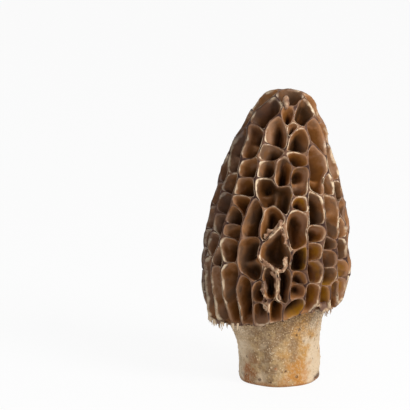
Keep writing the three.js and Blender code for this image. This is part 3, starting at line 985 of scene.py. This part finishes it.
def cap_material(colours):
    """Tan and gold walls darkened towards the pits' floors as painted shade, between dark crests with pale,
    torn lips that are partly painted highlight; painted shade also darkens the left flank and some pits.
    """
    f = Finish("cap_flesh", colours)
    down, tint = f.attribute("down"), f.attribute("tint")
    level = f.plus(down, f.sway(0.16, 300, 3, 0.2, 0.8))
    # A low tone, whether random or painted shade, makes the walls duller and brings the dark floor colour
    # further up them.
    warmth = f.plus(f.times(tint, 0.9), f.minus(f.speckle(150, 3, 0.3, 0.7), 0.45))
    wall = f.layers(
        "wall_dull", (f.ranged(warmth, 0.15, 0.6), "wall"),
        (f.times(f.speckle(85, 1, 0.5, 0.66), f.ranged(level, 0.75, 0.3)), "torn"),
        (f.times(f.speckle(330, 3, 0.5, 0.62), 0.45), "wall_warm"))
    gold = f.times(f.speckle(75, 1, 0.3, 0.5), f.speckle(260, 2, 0.25, 0.45))
    gold = f.times(gold, near_places(f, GOLDEN))
    warm = f.layers(wall, (f.ranged(warmth, 0.3, 0.95), "wall_warm"), (gold, "gold"))
    # The dark floor colours deep in the pits, and the ramp to them below, are painted shade.
    floor = f.layers("floor", (f.speckle(190, 2, 0.45, 0.65), "floor_warm"), (f.times(gold, 0.6), "gold"))
    sunk = f.plus(level, f.times(f.ranged(tint, 0.35, -0.1), 0.45))
    inside = f.layers(wall, (f.ranged(sunk, 0.03, 0.3), warm), (f.ranged(sunk, 0.32, 0.85), floor))

    thin = f.ranged(f.plus(f.attribute("broad"), f.speckle(230, 2, 0.3, 0.7, 0.5)), 1.3, 0.7)
    torn, frayed = f.ranged(f.attribute("torn"), 0.25, 0.9), near_places(f, FRAYED)
    ragged = f.layers(
        "torn", (f.speckle(520, 3, 0.5, 0.66), "rim"), (f.speckle(380, 2, 0.52, 0.66), "wall_dull"))
    crest = f.layers(
        "crest", (f.speckle(420, 3, 0.42, 0.6), "crest_dark"), (f.times(thin, 0.7), "torn"), (torn, ragged),
        (f.times(frayed, f.speckle(260, 3, 0.35, 0.5)), "rim"))

    # Pale lips along the crests' edges: partly the ribs' own pale edge and partly painted highlight,
    # brightest in patches and on torn and frayed ribs.
    lip = f.times(f.ranged(level, -0.4, -0.08), f.ranged(level, 0.08, 0))
    patchy = f.plus(f.speckle(90, 1, 0.42, 0.6), f.plus(torn, frayed), clamp=True)
    pale_lip_and_highlight = f.times(f.times(f.speckle(480, 3, 0.36, 0.54), patchy), lip)
    lining = f.layers("lining", (f.speckle(300, 3, 0.4, 0.6), "rim"))
    shade = f.layers(
        crest, (f.ranged(level, -0.2, 0.08), inside), (f.times(lip, 0.4), "wall"), (pale_lip_and_highlight, "rim"),
        # The dark crest colour over the listed places on the left is painted shade.
        (f.times(near_places(f, PAINTED_SHADE_SPOTS), 0.6), "crest_dark"), (f.ranged(down, 1.3, 1.7), lining))
    return f.paint(shade, f.noise(f.place, *GRAIN), 0.00012, 0.6, f.ranged(lip, 0, 1, 0.55, 0.3),
                   f.ranged(lip, 0, 1, 0.12, 0.5))


class MorelCapSizes(bpy.types.PropertyGroup):
    outline_step: a_length("Outline Step", "Length of the straight pieces that a crest is made of", 0.66, 0.3)
    floor_step: a_length("Floor Step", "Distance between the points of a pit's floor", 0.8, 0.3)
    crest_width: a_length("Crest Width", "Width of a rib across its crest", 0.4)
    corner_rounding: a_count("Corner Rounding", "Times that a pit's rim is smoothed", 6)
    crest_rise: a_length("Crest Rise", "How far a crest's two edges stand above its middle", 0.12)
    pit_depth: a_number("Pit Depth", "Depth of a pit as a share of the square root of its area", 1.3, 2)
    shallowest: a_length("Shallowest Pit", "The least that any pit is deep", 4.4)
    deepest: a_length("Deepest Pit", "The most that any pit is deep", 7.8)
    wall_width: a_length("Wall Width", "How far in from its rim a pit's steep wall reaches", 1.0, 0.01)
    wall_share: a_number("Wall Share", "Depth at the foot of the wall, as a share of the pit's", 0.7, 1)
    saddles: a_number(
        "Saddles", "Height of the low walls between a pit's lobes, as a share of its depth", 0.8, 0.9)
    pocket: a_number("Pocket", "How much deeper a pit's floor is at one side than in its middle", 0.32, 0.5)
    tilt: a_number("Tilt", "How far down a rib's foot is from its crest, as a share of its height", 0.36, 0.6)
    floor_folds: a_length("Floor Folds", "Height of the soft folds on the pits' floors", 1.2)
    fold_size: a_length("Fold Size", "Distance between folds", 4.0, 0.1)
    skin_relief: a_length("Skin Relief", "Height of the fine unevenness all over the skin", 0.26)
    softening: a_count("Softening", "Times that walls, folds and floors are smoothed", 4)
    seed: a_count("Seed", "Picks the folds", 3)


class MorelCapColours(bpy.types.PropertyGroup):
    crest: a_colour("Crest", "Middle of a rib's crest", "6b4d3c")
    # Also the painted shade over the cap's left flank.
    crest_dark: a_colour("Dark Crest", "Dark patches of the crests", "3f2a25")
    torn: a_colour("Torn Rib", "Tan skin of the torn ribs", "a37c5f")
    # Also the painted highlight along the lips.
    rim: a_colour("Rim", "Pale edges of the crests", "e8cfac")
    wall: a_colour("Wall", "Upper walls of the pits", "9f714c")
    wall_dull: a_colour("Dull Wall", "Greyish tan patches of the walls", "735640")
    wall_warm: a_colour("Warm Wall", "Orange-brown patches of the walls", "7d4f24")
    gold: a_colour("Gold", "Olive-gold patches of the walls", "a8741c")
    # These two floor colours are painted shade, darkening the pits towards their floors.
    floor: a_colour("Floor", "Deep in the pits", "3e2713")
    floor_warm: a_colour("Warm Floor", "Warmer patches deep in the pits", "5c381a")
    lining: a_colour("Lining", "Inside of the hollow and the underside", "a58a6a")


class MOREL_OT_cap(bpy.types.Operator):
    """Make the hollow cap with its net of ribs and its pits"""

    bl_idname = "morel.cap"
    bl_label = "Pitted Cap"

    def execute(self, context):
        sizes = context.scene.morel_cap
        piece = cap_mesh(sizes)
        skin = cap_material(context.scene.morel_cap_colours)
        grow(piece, pit_tree(), sizes, seed=float(sizes.seed), material=skin)
        settle(piece, "cap_flesh", "cap")
        return {"FINISHED"}


# ----------------------------------------
# The frayed ends, the curled tip and the torn sheets.

# Frayed ends of ribs on the lower edge: (from longitude, to longitude, how many).
SHREDS = [(-84, -54, 22), (-50, -34, 3), (44, 58, 5)]
CURLED_TIP = [(2, 86.4), (3, 89.2)]
TIP_SINK = 0.9  # how far below the envelope the curled tip's ends are
TIP_RADIUS = 0.95
# Round a torn sheet's section: share of its height, and place across in mm.
FLAP_PROFILE = [(-0.3, -0.6), (0.45, -0.4), (1.0, -0.22), (0.95, 0.24), (0.45, 0.4), (-0.3, 0.6)]
FLAP_STEPS = 14  # from one place of a torn rib to the next
FLAP_ROOT = 0.5  # how far a sheet goes down into its rib
CURLS = (0.6, -0.5)  # how far the sheets lean over, by turns to one side and to the other


def loft(points, faces, rings):
    """Adds a closed body through rings of places, each running clockwise as seen along the path."""
    first, sides = len(points), len(rings[0])
    for ring in rings:
        points.extend(ring)
    for low in range(first, len(points) - sides, sides):
        for k in range(sides):
            n = (k + 1) % sides
            faces.append((low + n, low + k, low + sides + k, low + sides + n))
    faces.append(tuple(first + k for k in range(sides)))
    faces.append(tuple(len(points) - 1 - k for k in range(sides)))


def strip_rings(path, widths, flat_way, flatness):
    """Rings round a path of places, thinner by flatness along flat_way."""
    rings = []
    for place, way, width in zip(path, np.gradient(path, axis=0), widths):
        beside = unit(np.cross(way, flat_way))
        above = unit(np.cross(beside, way))
        turns = np.arange(6)[:, None] * math.pi / 3
        rings.append(place + width * (np.cos(turns) * beside + flatness * np.sin(turns) * above))
    return rings


def flap_rings(line, sizes, curl):
    """Rings of a torn, curled-over sheet that stands on a line of (longitude, height) places."""
    steps = np.linspace(0, len(line) - 1, 1 + FLAP_STEPS * (len(line) - 1))
    spots = np.stack([np.interp(steps, range(len(line)), values) for values in zip(*line)], -1)
    plane = np.array([to_plane(*spot) for spot in spots])
    out = outward_at(plane)
    base = on_envelope(plane) - (CREST_INSET + FLAP_ROOT) * out
    base += 0.5 * wander(base, 2.0, 25)
    aside = unit(np.cross(out, unit(np.gradient(base, axis=0))))
    ends = np.minimum(1, np.minimum(steps, steps[-1] - steps) * 2.5)
    torn = 0.55 + 0.9 * undulate(base, 1.6, 26) + 0.7 * undulate(base, 0.6, 27)
    tall = sizes.flap_height / MM * np.maximum(torn, 0.08) * ends + FLAP_ROOT
    over = curl * (1 + undulate(base, 3.0, 28))
    return np.stack([
        base + aside * (half + over * share**2 * tall)[:, None] + out * (share * tall)[:, None]
        for share, half in FLAP_PROFILE
    ], 1)


def shred_rings(longitude, sizes):
    """Rings of a frayed end that hangs from the lower edge."""
    spread = Vector(wander([(longitude, 0, 0)], 1.4, 24)[0])
    edge = np.interp(longitude, *MARGIN_TABLE)
    plane = to_plane(longitude + 3 * spread.x, edge + 0.9)
    out = unit(outward_at(plane))
    t = np.linspace(0, 1, 9)[:, None]
    reach = sizes.shred_length / MM * (1 + 0.9 * spread.y)
    path = on_envelope(plane) - 0.5 * out + t * reach * -UP + t**2 * out * 0.5 * spread.z
    path += 0.5 * t * wander(path, 1.1, 21)
    widths = sizes.shred_width / MM / 2 * (1.15 - t[:, 0] ** 1.5) * (1 + 0.5 * undulate(path, 0.6, 22))
    return strip_rings(path, widths, out, 0.45)


def tip_rings():
    """Rings of the curled tip beside the top pit."""
    root, tip = on_cap(CURLED_TIP) - TIP_SINK * UP
    t = np.linspace(0, 1, 12)[:, None]
    path = root + (tip - root) * t + np.array([0, -0.2, 0.35]) * np.sin(math.pi * t)
    path += 0.25 * wander(path, 1.5, 23)
    blunt = np.sqrt(np.maximum(np.sin(math.pi * (0.06 + 0.88 * t[:, 0])), 0))
    return strip_rings(path, TIP_RADIUS * blunt * (1 + 0.15 * t[:, 0]), np.array([0, -1, 0.4]), 0.8)


def shred_mesh(sizes):
    """The frayed ends, the curled tip and a sheet along each torn rib."""
    points, faces = [], []
    for start, end, many in SHREDS:
        for k in range(many):
            loft(points, faces, shred_rings(start + (end - start) * (k + 0.5) / many, sizes))
    loft(points, faces, tip_rings())
    for k, line in enumerate(TORN_RIBS):
        loft(points, faces, flap_rings(line, sizes, CURLS[k % 2]))
    return mesh_object("cap_shreds", points, faces)


def shred_material(colours):
    """Tan fibres, paler towards the cap's lower edge, with brown patches."""
    f = Finish("cap_shreds", colours)
    tan = f.plus(f.speckle(700, 3, 0.35, 0.65), 0.5, clamp=True)
    tan = f.times(tan, f.ranged(f.height(f.place), 0.022, 0.028, 0.2, 1))
    shade = f.layers("rim", (tan, "torn"), (f.speckle(330, 2, 0.45, 0.65), "crest"))
    return f.paint(shade, f.noise(f.place, *GRAIN), 0.00012, 0.6, 0.6, 0.35)


class MorelShredSizes(bpy.types.PropertyGroup):
    shred_length: a_length("Shred Length", "Mean length of a frayed end", 1.9)
    shred_width: a_length("Shred Width", "Width of a frayed end where it leaves the rib", 0.75)
    flap_height: a_length("Flap Height", "Mean height of the torn sheets on the ribs", 1.5)


class MOREL_OT_shreds(bpy.types.Operator):
    """Make the frayed rib ends, the curled tip and the torn sheets"""

    bl_idname = "morel.shreds"
    bl_label = "Frayed Ends"

    def execute(self, context):
        piece = shred_mesh(context.scene.morel_shreds)
        piece.data.materials.append(shred_material(context.scene.morel_cap_colours))
        settle(piece, "cap_flesh")
        return {"FINISHED"}


# ----------------------------------------
# The stem.

STEM_RADIUS = 12.35
FLARE = 1.4  # how far the stem spreads under the cap all round
LEFT_FLARE = {"longitude": -68, "width": 42, "reach": 3.2}
LIP_GAP = 0.35  # from the stem's lip up to the cap's lower edge
LIP_INSET = 1.6  # from the flare's edge in to the first ring over the lip
CUT_EDGE = [(-0.5, 0.0), (-0.15, 0.12)]  # (change of the radius, height) of the cut edge's rings
LIP_RISE = (0.15, 0.9)  # of the rings over the lip
BORE_STEPS = (1.2, -3, -8, -13, -17)  # heights from the lip of the bore's rings
BORE_FEET = (2, 0.6)  # the least height of those rings, and that of the lowest one
BORE_EDGE = 0.4  # how far the bore widens at the cut end
# Stains on the front of the stem, and two large pale patches that make its left edge paler: place across and
# up, reach, raggedness, colour and strength.
STAINS = [
    (-12, 19, 8, 0.5, "pale", 0.7), (-11.5, 10, 5, 0.7, "pale", 0.45), (5.2, 5.0, 5.0, 0.8, "ochre", 0.55),
    (6.5, 1.5, 3.4, 0.6, "ochre", 0.45), (-9.6, 4.0, 3.0, 0.6, "stain", 0.8),
    (-8.2, 8.0, 2.6, 0.9, "stain", 0.25), (-1.3, 5.9, 0.75, 0.4, "stain", 0.9),
    (-3.2, 8.9, 0.6, 0.5, "speck", 0.7), (0.8, 8.8, 0.8, 0.5, "speck", 0.35),
    (-9.4, 20.6, 0.75, 0.4, "speck", 0.6), (-10.2, 17.6, 0.6, 0.4, "speck", 0.5),
    (1.2, 1.5, 2.4, 0.8, "stain", 0.35), (11.5, 0.8, 2.2, 0.5, "speck", 0.95),
    (9.2, 20.8, 0.45, 0.3, "speck", 0.6), (-9.8, 1.2, 2.6, 0.8, "stain", 0.9),
    (-11.2, 2.4, 1.2, 0.6, "speck", 0.45), (8.6, 22.2, 0.4, 0.3, "speck", 0.6),
    (-5.4, 16.2, 0.4, 0.3, "speck", 0.5), (0.5, 4.8, 0.5, 0.5, "speck", 0.45),
]


def stem_radius(longitude, rise):
    a = np.radians(longitude)
    lobed = 0.28 * np.cos(2 * a + 0.6) + 0.2 * np.cos(3 * a - 0.8) + 0.14 * np.cos(7 * a + 1)
    left = np.exp(-(((longitude - LEFT_FLARE["longitude"]) / LEFT_FLARE["width"]) ** 2))
    return STEM_RADIUS + lobed + rise**4 * (FLARE + LEFT_FLARE["reach"] * left)


def stem_mesh(sizes):
    """A tube: outside from the cut end up to the flare's lip, over the lip, and down the bore."""
    around = np.linspace(-180, 180, sizes.sides, endpoint=False)
    a = np.radians(around)
    lip = margin_height(around) - LIP_GAP
    rings = []

    def ring(r, z):
        rings.append(np.stack([STEM_AXIS_X + r * np.sin(a), -r * np.cos(a), z + 0 * a], -1))

    for change, z in CUT_EDGE:
        ring(stem_radius(around, 0) + change, z)
    for rise in np.linspace(0.03, 1, sizes.levels):
        ring(stem_radius(around, rise), lip * rise)
    outside = len(rings)
    ring(stem_radius(around, 1) - LIP_INSET, lip + LIP_RISE[0])
    ring(BORE_RADIUS + 2, lip + LIP_RISE[1])
    for z in BORE_STEPS:
        ring(BORE_RADIUS, np.maximum(lip + z, BORE_FEET[0]))
    ring(BORE_RADIUS, BORE_FEET[1])
    ring(BORE_RADIUS + BORE_EDGE, 0)
    shape = np.array(rings)
    skin = shape[1:outside].reshape(-1, 3)
    away = unit(skin * [1, 1, 0] - [STEM_AXIS_X, 0, 0])
    furrow = undulate(skin * [1, 1, 0.25], 3.4, 11) * 0.5 + undulate(skin, 5.0, 12) * 0.4
    pitted = undulate(skin, 1.1, 13) * 0.16 + undulate(skin, 0.55, 14) * 0.1
    ends = np.clip(skin[:, 2] / 1.5, 0, 1)
    shape[1:outside] = (skin + away * ((furrow + pitted) * ends)[:, None]).reshape(outside - 1, -1, 3)
    rows = np.arange(len(shape) * sizes.sides).reshape(len(shape), -1)
    faces = [face for low, high in zip(rows, np.roll(rows, -1, 0)) for face in bridge(low, high)]
    inside = np.zeros(rows.shape)
    inside[outside:] = inside[0] = 1
    return mesh_object("stem_flesh", shape.reshape(-1, 3), faces, inside=inside.ravel())


def stem_material(colours):
    """Cream, greyer and warmer by patches, with pebbles, stains, specks and a browned cut edge."""
    f = Finish("stem_flesh", colours)
    x, _, z = f.add("ShaderNodeSeparateXYZ", Vector=f.place).outputs
    drift = f.sway(0.009, 160, 3, 0.25, 0.75)
    across = f.plus(x, drift)

    def cells(scale, start, end):
        made = f.add("ShaderNodeTexVoronoi", Vector=f.place, Scale=scale, Randomness=1)
        return f.ranged(made.outputs["Distance"], start, end)

    # Bands across the front: yellower right of the middle. The paler bands down both sides and the cream
    # strip at the far left are painted highlight.
    shade = f.layers(
        "grey", (f.speckle(240, 4, 0.45, 0.58), "cream"), (f.ranged(across, 0.001, 0.0075), "warm"),
        (f.ranged(across, 0.0075, 0.0125), "pale"), (f.ranged(across, -0.0045, -0.0105), "pale"),
        (f.ranged(across, -0.009, -0.0125), "edge"))
    for stain_x, stain_z, reach, ragged, name, strength in STAINS:
        y = -math.sqrt(max(STEM_RADIUS**2 - stain_x**2, 0))
        near = near_spot(f, (stain_x, y, stain_z), reach, ragged, (1, 0.5, 1))
        shade = f.layers(shade, (f.times(near, strength), name))
    gaps = f.times(cells(1700, 0.3, 0.6), f.ranged(z, 0.009, 0.021))
    rare = f.math("GREATER_THAN", f.speckle(900, 0, 0, 1), 0.46)
    edge = f.ranged(f.plus(z, f.times(drift, 0.12)), 0.0013, 0.0002)
    shade = f.layers(
        shade, (f.times(f.speckle(1300, 2, 0.45, 0.68), 0.35), "pale"), (f.times(gaps, 0.6), "gaps"),
        (f.times(f.times(cells(330, 0.24, 0.1), rare), 0.75), "speck"), (f.times(edge, 0.6), "cut"),
        (f.times(f.attribute("inside"), 0.8), "pale"))
    return f.paint(shade, f.speckle(1800, 3, 0.3, 0.7), 0.0002, 0.6, 0.62, 0.2)


def granule_tree():
    """Pimples all over a skin, thickest under the cap."""
    t = ShapeTree("Granules", ("Granule Density", "Granule Size"), ("Seed",))
    height = t.height(t.position())
    crowd = t.times(t.ranged(t.wave(230, 2, 5), -0.12, 0.14, 0.15, 1),
                    t.ranged(height, 0.002, 0.024, 0.5, 1))
    crowd = t.times(crowd, t.math("GREATER_THAN", height, 0.0004))
    spread = t.add(
        "GeometryNodeDistributePointsOnFaces", distribute_method="POISSON", Mesh=t.shape,
        Selection=t.math("LESS_THAN", t.attribute("inside"), 0.5), Distance_Min=0.00042,
        Density_Max=t.given["Granule Density"], Density_Factor=crowd, Seed=t.given["Seed"])
    grain = t.add("GeometryNodeMeshIcoSphere", Radius=1, Subdivisions=1)
    chance = t.add("FunctionNodeRandomValue", data_type="FLOAT", Min=0.45, Max=1, Seed=t.given["Seed"])
    size = t.times(next(s for s in chance.outputs if s.enabled), t.given["Granule Size"])
    flat = t.add("ShaderNodeCombineXYZ", _0=size, _1=size, _2=t.times(size, 0.6))
    copies = t.add(
        "GeometryNodeInstanceOnPoints", Points=spread.outputs["Points"], Instance=grain.outputs["Mesh"],
        Rotation=spread.outputs["Rotation"], Scale=flat.outputs[0])
    t.shape = copies.outputs["Instances"]
    return t.finish()


def granule_material(colours):
    f = Finish("stem_granules", colours)
    shade = f.layers("cream", (f.speckle(500, 2, 0.4, 0.6), "pale"))
    return f.paint(shade, f.speckle(2500, 2, 0.3, 0.7), 0.00005, 0.5, 0.55, 0.35)


class MorelStemSizes(bpy.types.PropertyGroup):
    sides: a_count("Sides", "Faces round the stem", 300)
    levels: a_count("Levels", "Faces up the stem", 84)
    granule_density: a_number("Granule Density", "The most pimples on a square metre", 1.6e6, 1e7)
    granule_size: a_length("Granule Size", "Radius of the largest pimples", 0.26)
    seed: a_count("Seed", "Picks the places of the pimples", 7)


class MorelStemColours(bpy.types.PropertyGroup):
    cream: a_colour("Cream", "Most of the stem", "b4966c")
    grey: a_colour("Grey", "Greyish patches", "927554")
    warm: a_colour("Warm", "Yellowish side", "bf9052")
    # Also the painted highlight down both sides of the stem's front.
    pale: a_colour("Pale", "Pale side and pimples", "d9c1a1")
    # A painted highlight down the stem's left edge.
    edge: a_colour("Edge", "Cream of the left edge", "f2dfc3")
    gaps: a_colour("Gaps", "Skin between the pebbles near the cap", "75583a")
    ochre: a_colour("Ochre", "Orange bruises", "bc7c34")
    stain: a_colour("Stain", "Rust-brown bruises", "9c5a22")
    speck: a_colour("Speck", "Dark specks", "4a2c1c")
    cut: a_colour("Cut Edge", "Edge of the cut end", "a8703f")


class MOREL_OT_stem(bpy.types.Operator):
    """Make the hollow, lobed stem with its cut end, and the pimples on it"""

    bl_idname = "morel.stem"
    bl_label = "Cut Stem"

    def execute(self, context):
        sizes, colours = context.scene.morel_stem, context.scene.morel_stem_colours
        piece = stem_mesh(sizes)
        granules = placed("stem_granules", piece.data.copy())
        piece.data.materials.append(stem_material(colours))
        grow(granules, granule_tree(), sizes, material=granule_material(colours))
        settle(piece, "stem_flesh", "stem")
        settle(granules, "stem_flesh")
        return {"FINISHED"}


# ----------------------------------------
# The floor, the lights and the camera.

VIEW_ELEVATION = math.radians(14)
FRAME_WIDTH = 124.2 * MM  # what the picture's width shows at the stem
AIM_LEFT = 21.5 * MM  # from the stem's foot to what the camera points at
AIM_UP = 52.1 * MM
SENSOR = 36
WHITE = (1, 1, 1, 1)
FLOOR_HALF = 0.9  # half the floor's width, in metres
FLOOR_COLOUR = (0.9, 0.9, 0.9, 1)
FLOOR_GLOW = 0.92  # how much of what the camera sees of the floor is plain white
# Name, width and place of each light, in metres.
LIGHTS = [
    ("key", 0.3, (0.42, -0.36, 0.42)), ("fill", 0.5, (-0.3, -0.6, 0.15)), ("top", 0.4, (0.02, 0.1, 0.6)),
]


def seen_directly(nodes):
    """1 for what the camera sees, straight, mirrored or through glass, and 0 for scattered light."""
    path = nodes.add("ShaderNodeLightPath").outputs
    mirrored = nodes.math("MAXIMUM", path["Is Glossy Ray"], path["Is Transmission Ray"])
    return nodes.math("MAXIMUM", path["Is Camera Ray"], mirrored)


def white_world(ambient):
    world = bpy.data.worlds.new("Studio")
    world.use_nodes = True
    nodes = NodeTree(world.node_tree)
    background = world.node_tree.nodes["Background"]
    nodes.feed(background, "Color", WHITE)
    nodes.feed(background, "Strength", nodes.mix("FLOAT", seen_directly(nodes), ambient, 1))
    bpy.context.scene.world = world


def white_floor():
    corners = [(x * FLOOR_HALF, y * FLOOR_HALF, 0) for x, y in ((-1, -1), (1, -1), (1, 1), (-1, 1))]
    mesh = bpy.data.meshes.new("floor")
    mesh.from_pydata(corners, [], [(0, 1, 2, 3)])
    material = bpy.data.materials.new("white_table")
    material.use_nodes = True
    nodes = NodeTree(material.node_tree)
    shader = material.node_tree.nodes["Principled BSDF"]
    nodes.feed(shader, "Base_Color", FLOOR_COLOUR)
    nodes.feed(shader, "Roughness", 0.6)
    glow = nodes.add("ShaderNodeEmission", Color=WHITE, Strength=1)
    lit = nodes.times(seen_directly(nodes), FLOOR_GLOW)
    mixed = nodes.add("ShaderNodeMixShader", _0=lit, _1=shader.outputs[0], _2=glow.outputs[0])
    nodes.feed(material.node_tree.nodes["Material Output"], "Surface", mixed.outputs[0])
    mesh.materials.append(material)
    placed("floor", mesh)


class MorelStage(bpy.types.PropertyGroup):
    distance: FloatProperty(
        name="Camera Distance", description="From the camera to the morel", default=3, unit="LENGTH")
    key: a_number("Key Light", "Power of the large light, in watts", 3.85)
    fill: a_number("Fill Light", "Power of the light from the left, in watts", 0.65)
    top: a_number("Top Light", "Power of the light overhead, in watts", 0.45)
    ambient: a_number("Ambient", "Light from all round", 0.25)


class MOREL_OT_stage(bpy.types.Operator):
    """Set up the floor, the lights and the camera"""

    bl_idname = "morel.stage"
    bl_label = "Floor, Lights and Camera"

    def execute(self, context):
        stage = context.scene.morel_stage
        middle = (Vector(CAD_BOX[0]) + Vector(CAD_BOX[1])) / 2
        white_floor()
        white_world(stage.ambient)
        for name, size, place in LIGHTS:
            light = bpy.data.lights.new(name, "AREA")
            light.shape, light.size, light.energy = "DISK", size, getattr(stage, name)
            lamp = placed(name, light)
            lamp.location = place
            lamp.rotation_euler = (middle - Vector(place)).to_track_quat("-Z", "Y").to_euler()
        up = Vector((0, math.sin(VIEW_ELEVATION), math.cos(VIEW_ELEVATION)))
        back = Vector((0, -math.cos(VIEW_ELEVATION), math.sin(VIEW_ELEVATION)))
        camera = placed("camera", bpy.data.cameras.new("camera"))
        camera.data.sensor_width = SENSOR
        camera.data.lens = SENSOR * stage.distance / FRAME_WIDTH
        camera.location = Vector((-AIM_LEFT, 0, 0)) + up * AIM_UP + back * stage.distance
        camera.rotation_euler = (math.pi / 2 - VIEW_ELEVATION, 0, 0)
        context.scene.camera = camera
        context.scene.view_settings.view_transform = "Standard"
        return {"FINISHED"}


class MOREL_PT_panel(bpy.types.Panel):
    """Lists the pieces of the morel in the order in which they are made"""

    bl_label = "Morel"
    bl_space_type = "VIEW_3D"
    bl_region_type = "UI"
    bl_category = "Morel"

    def draw(self, context):
        for operator in OPERATORS:
            self.layout.operator(operator.bl_idname)


GROUPS = {
    "morel_cap": MorelCapSizes,
    "morel_cap_colours": MorelCapColours,
    "morel_shreds": MorelShredSizes,
    "morel_stem": MorelStemSizes,
    "morel_stem_colours": MorelStemColours,
    "morel_stage": MorelStage,
}
OPERATORS = (MOREL_OT_cap, MOREL_OT_shreds, MOREL_OT_stem, MOREL_OT_stage)


def register():
    for cls in (*GROUPS.values(), *OPERATORS, MOREL_PT_panel):
        bpy.utils.register_class(cls)
    for name, group in GROUPS.items():
        setattr(bpy.types.Scene, name, PointerProperty(type=group))


def unregister():
    for name in GROUPS:
        delattr(bpy.types.Scene, name)
    for cls in (MOREL_PT_panel, *reversed(OPERATORS), *reversed(GROUPS.values())):
        bpy.utils.unregister_class(cls)


def main():
    register()
    for operator in OPERATORS:
        group, name = operator.bl_idname.split(".")
        getattr(getattr(bpy.ops, group), name)()


if __name__ == "__main__":
    main()
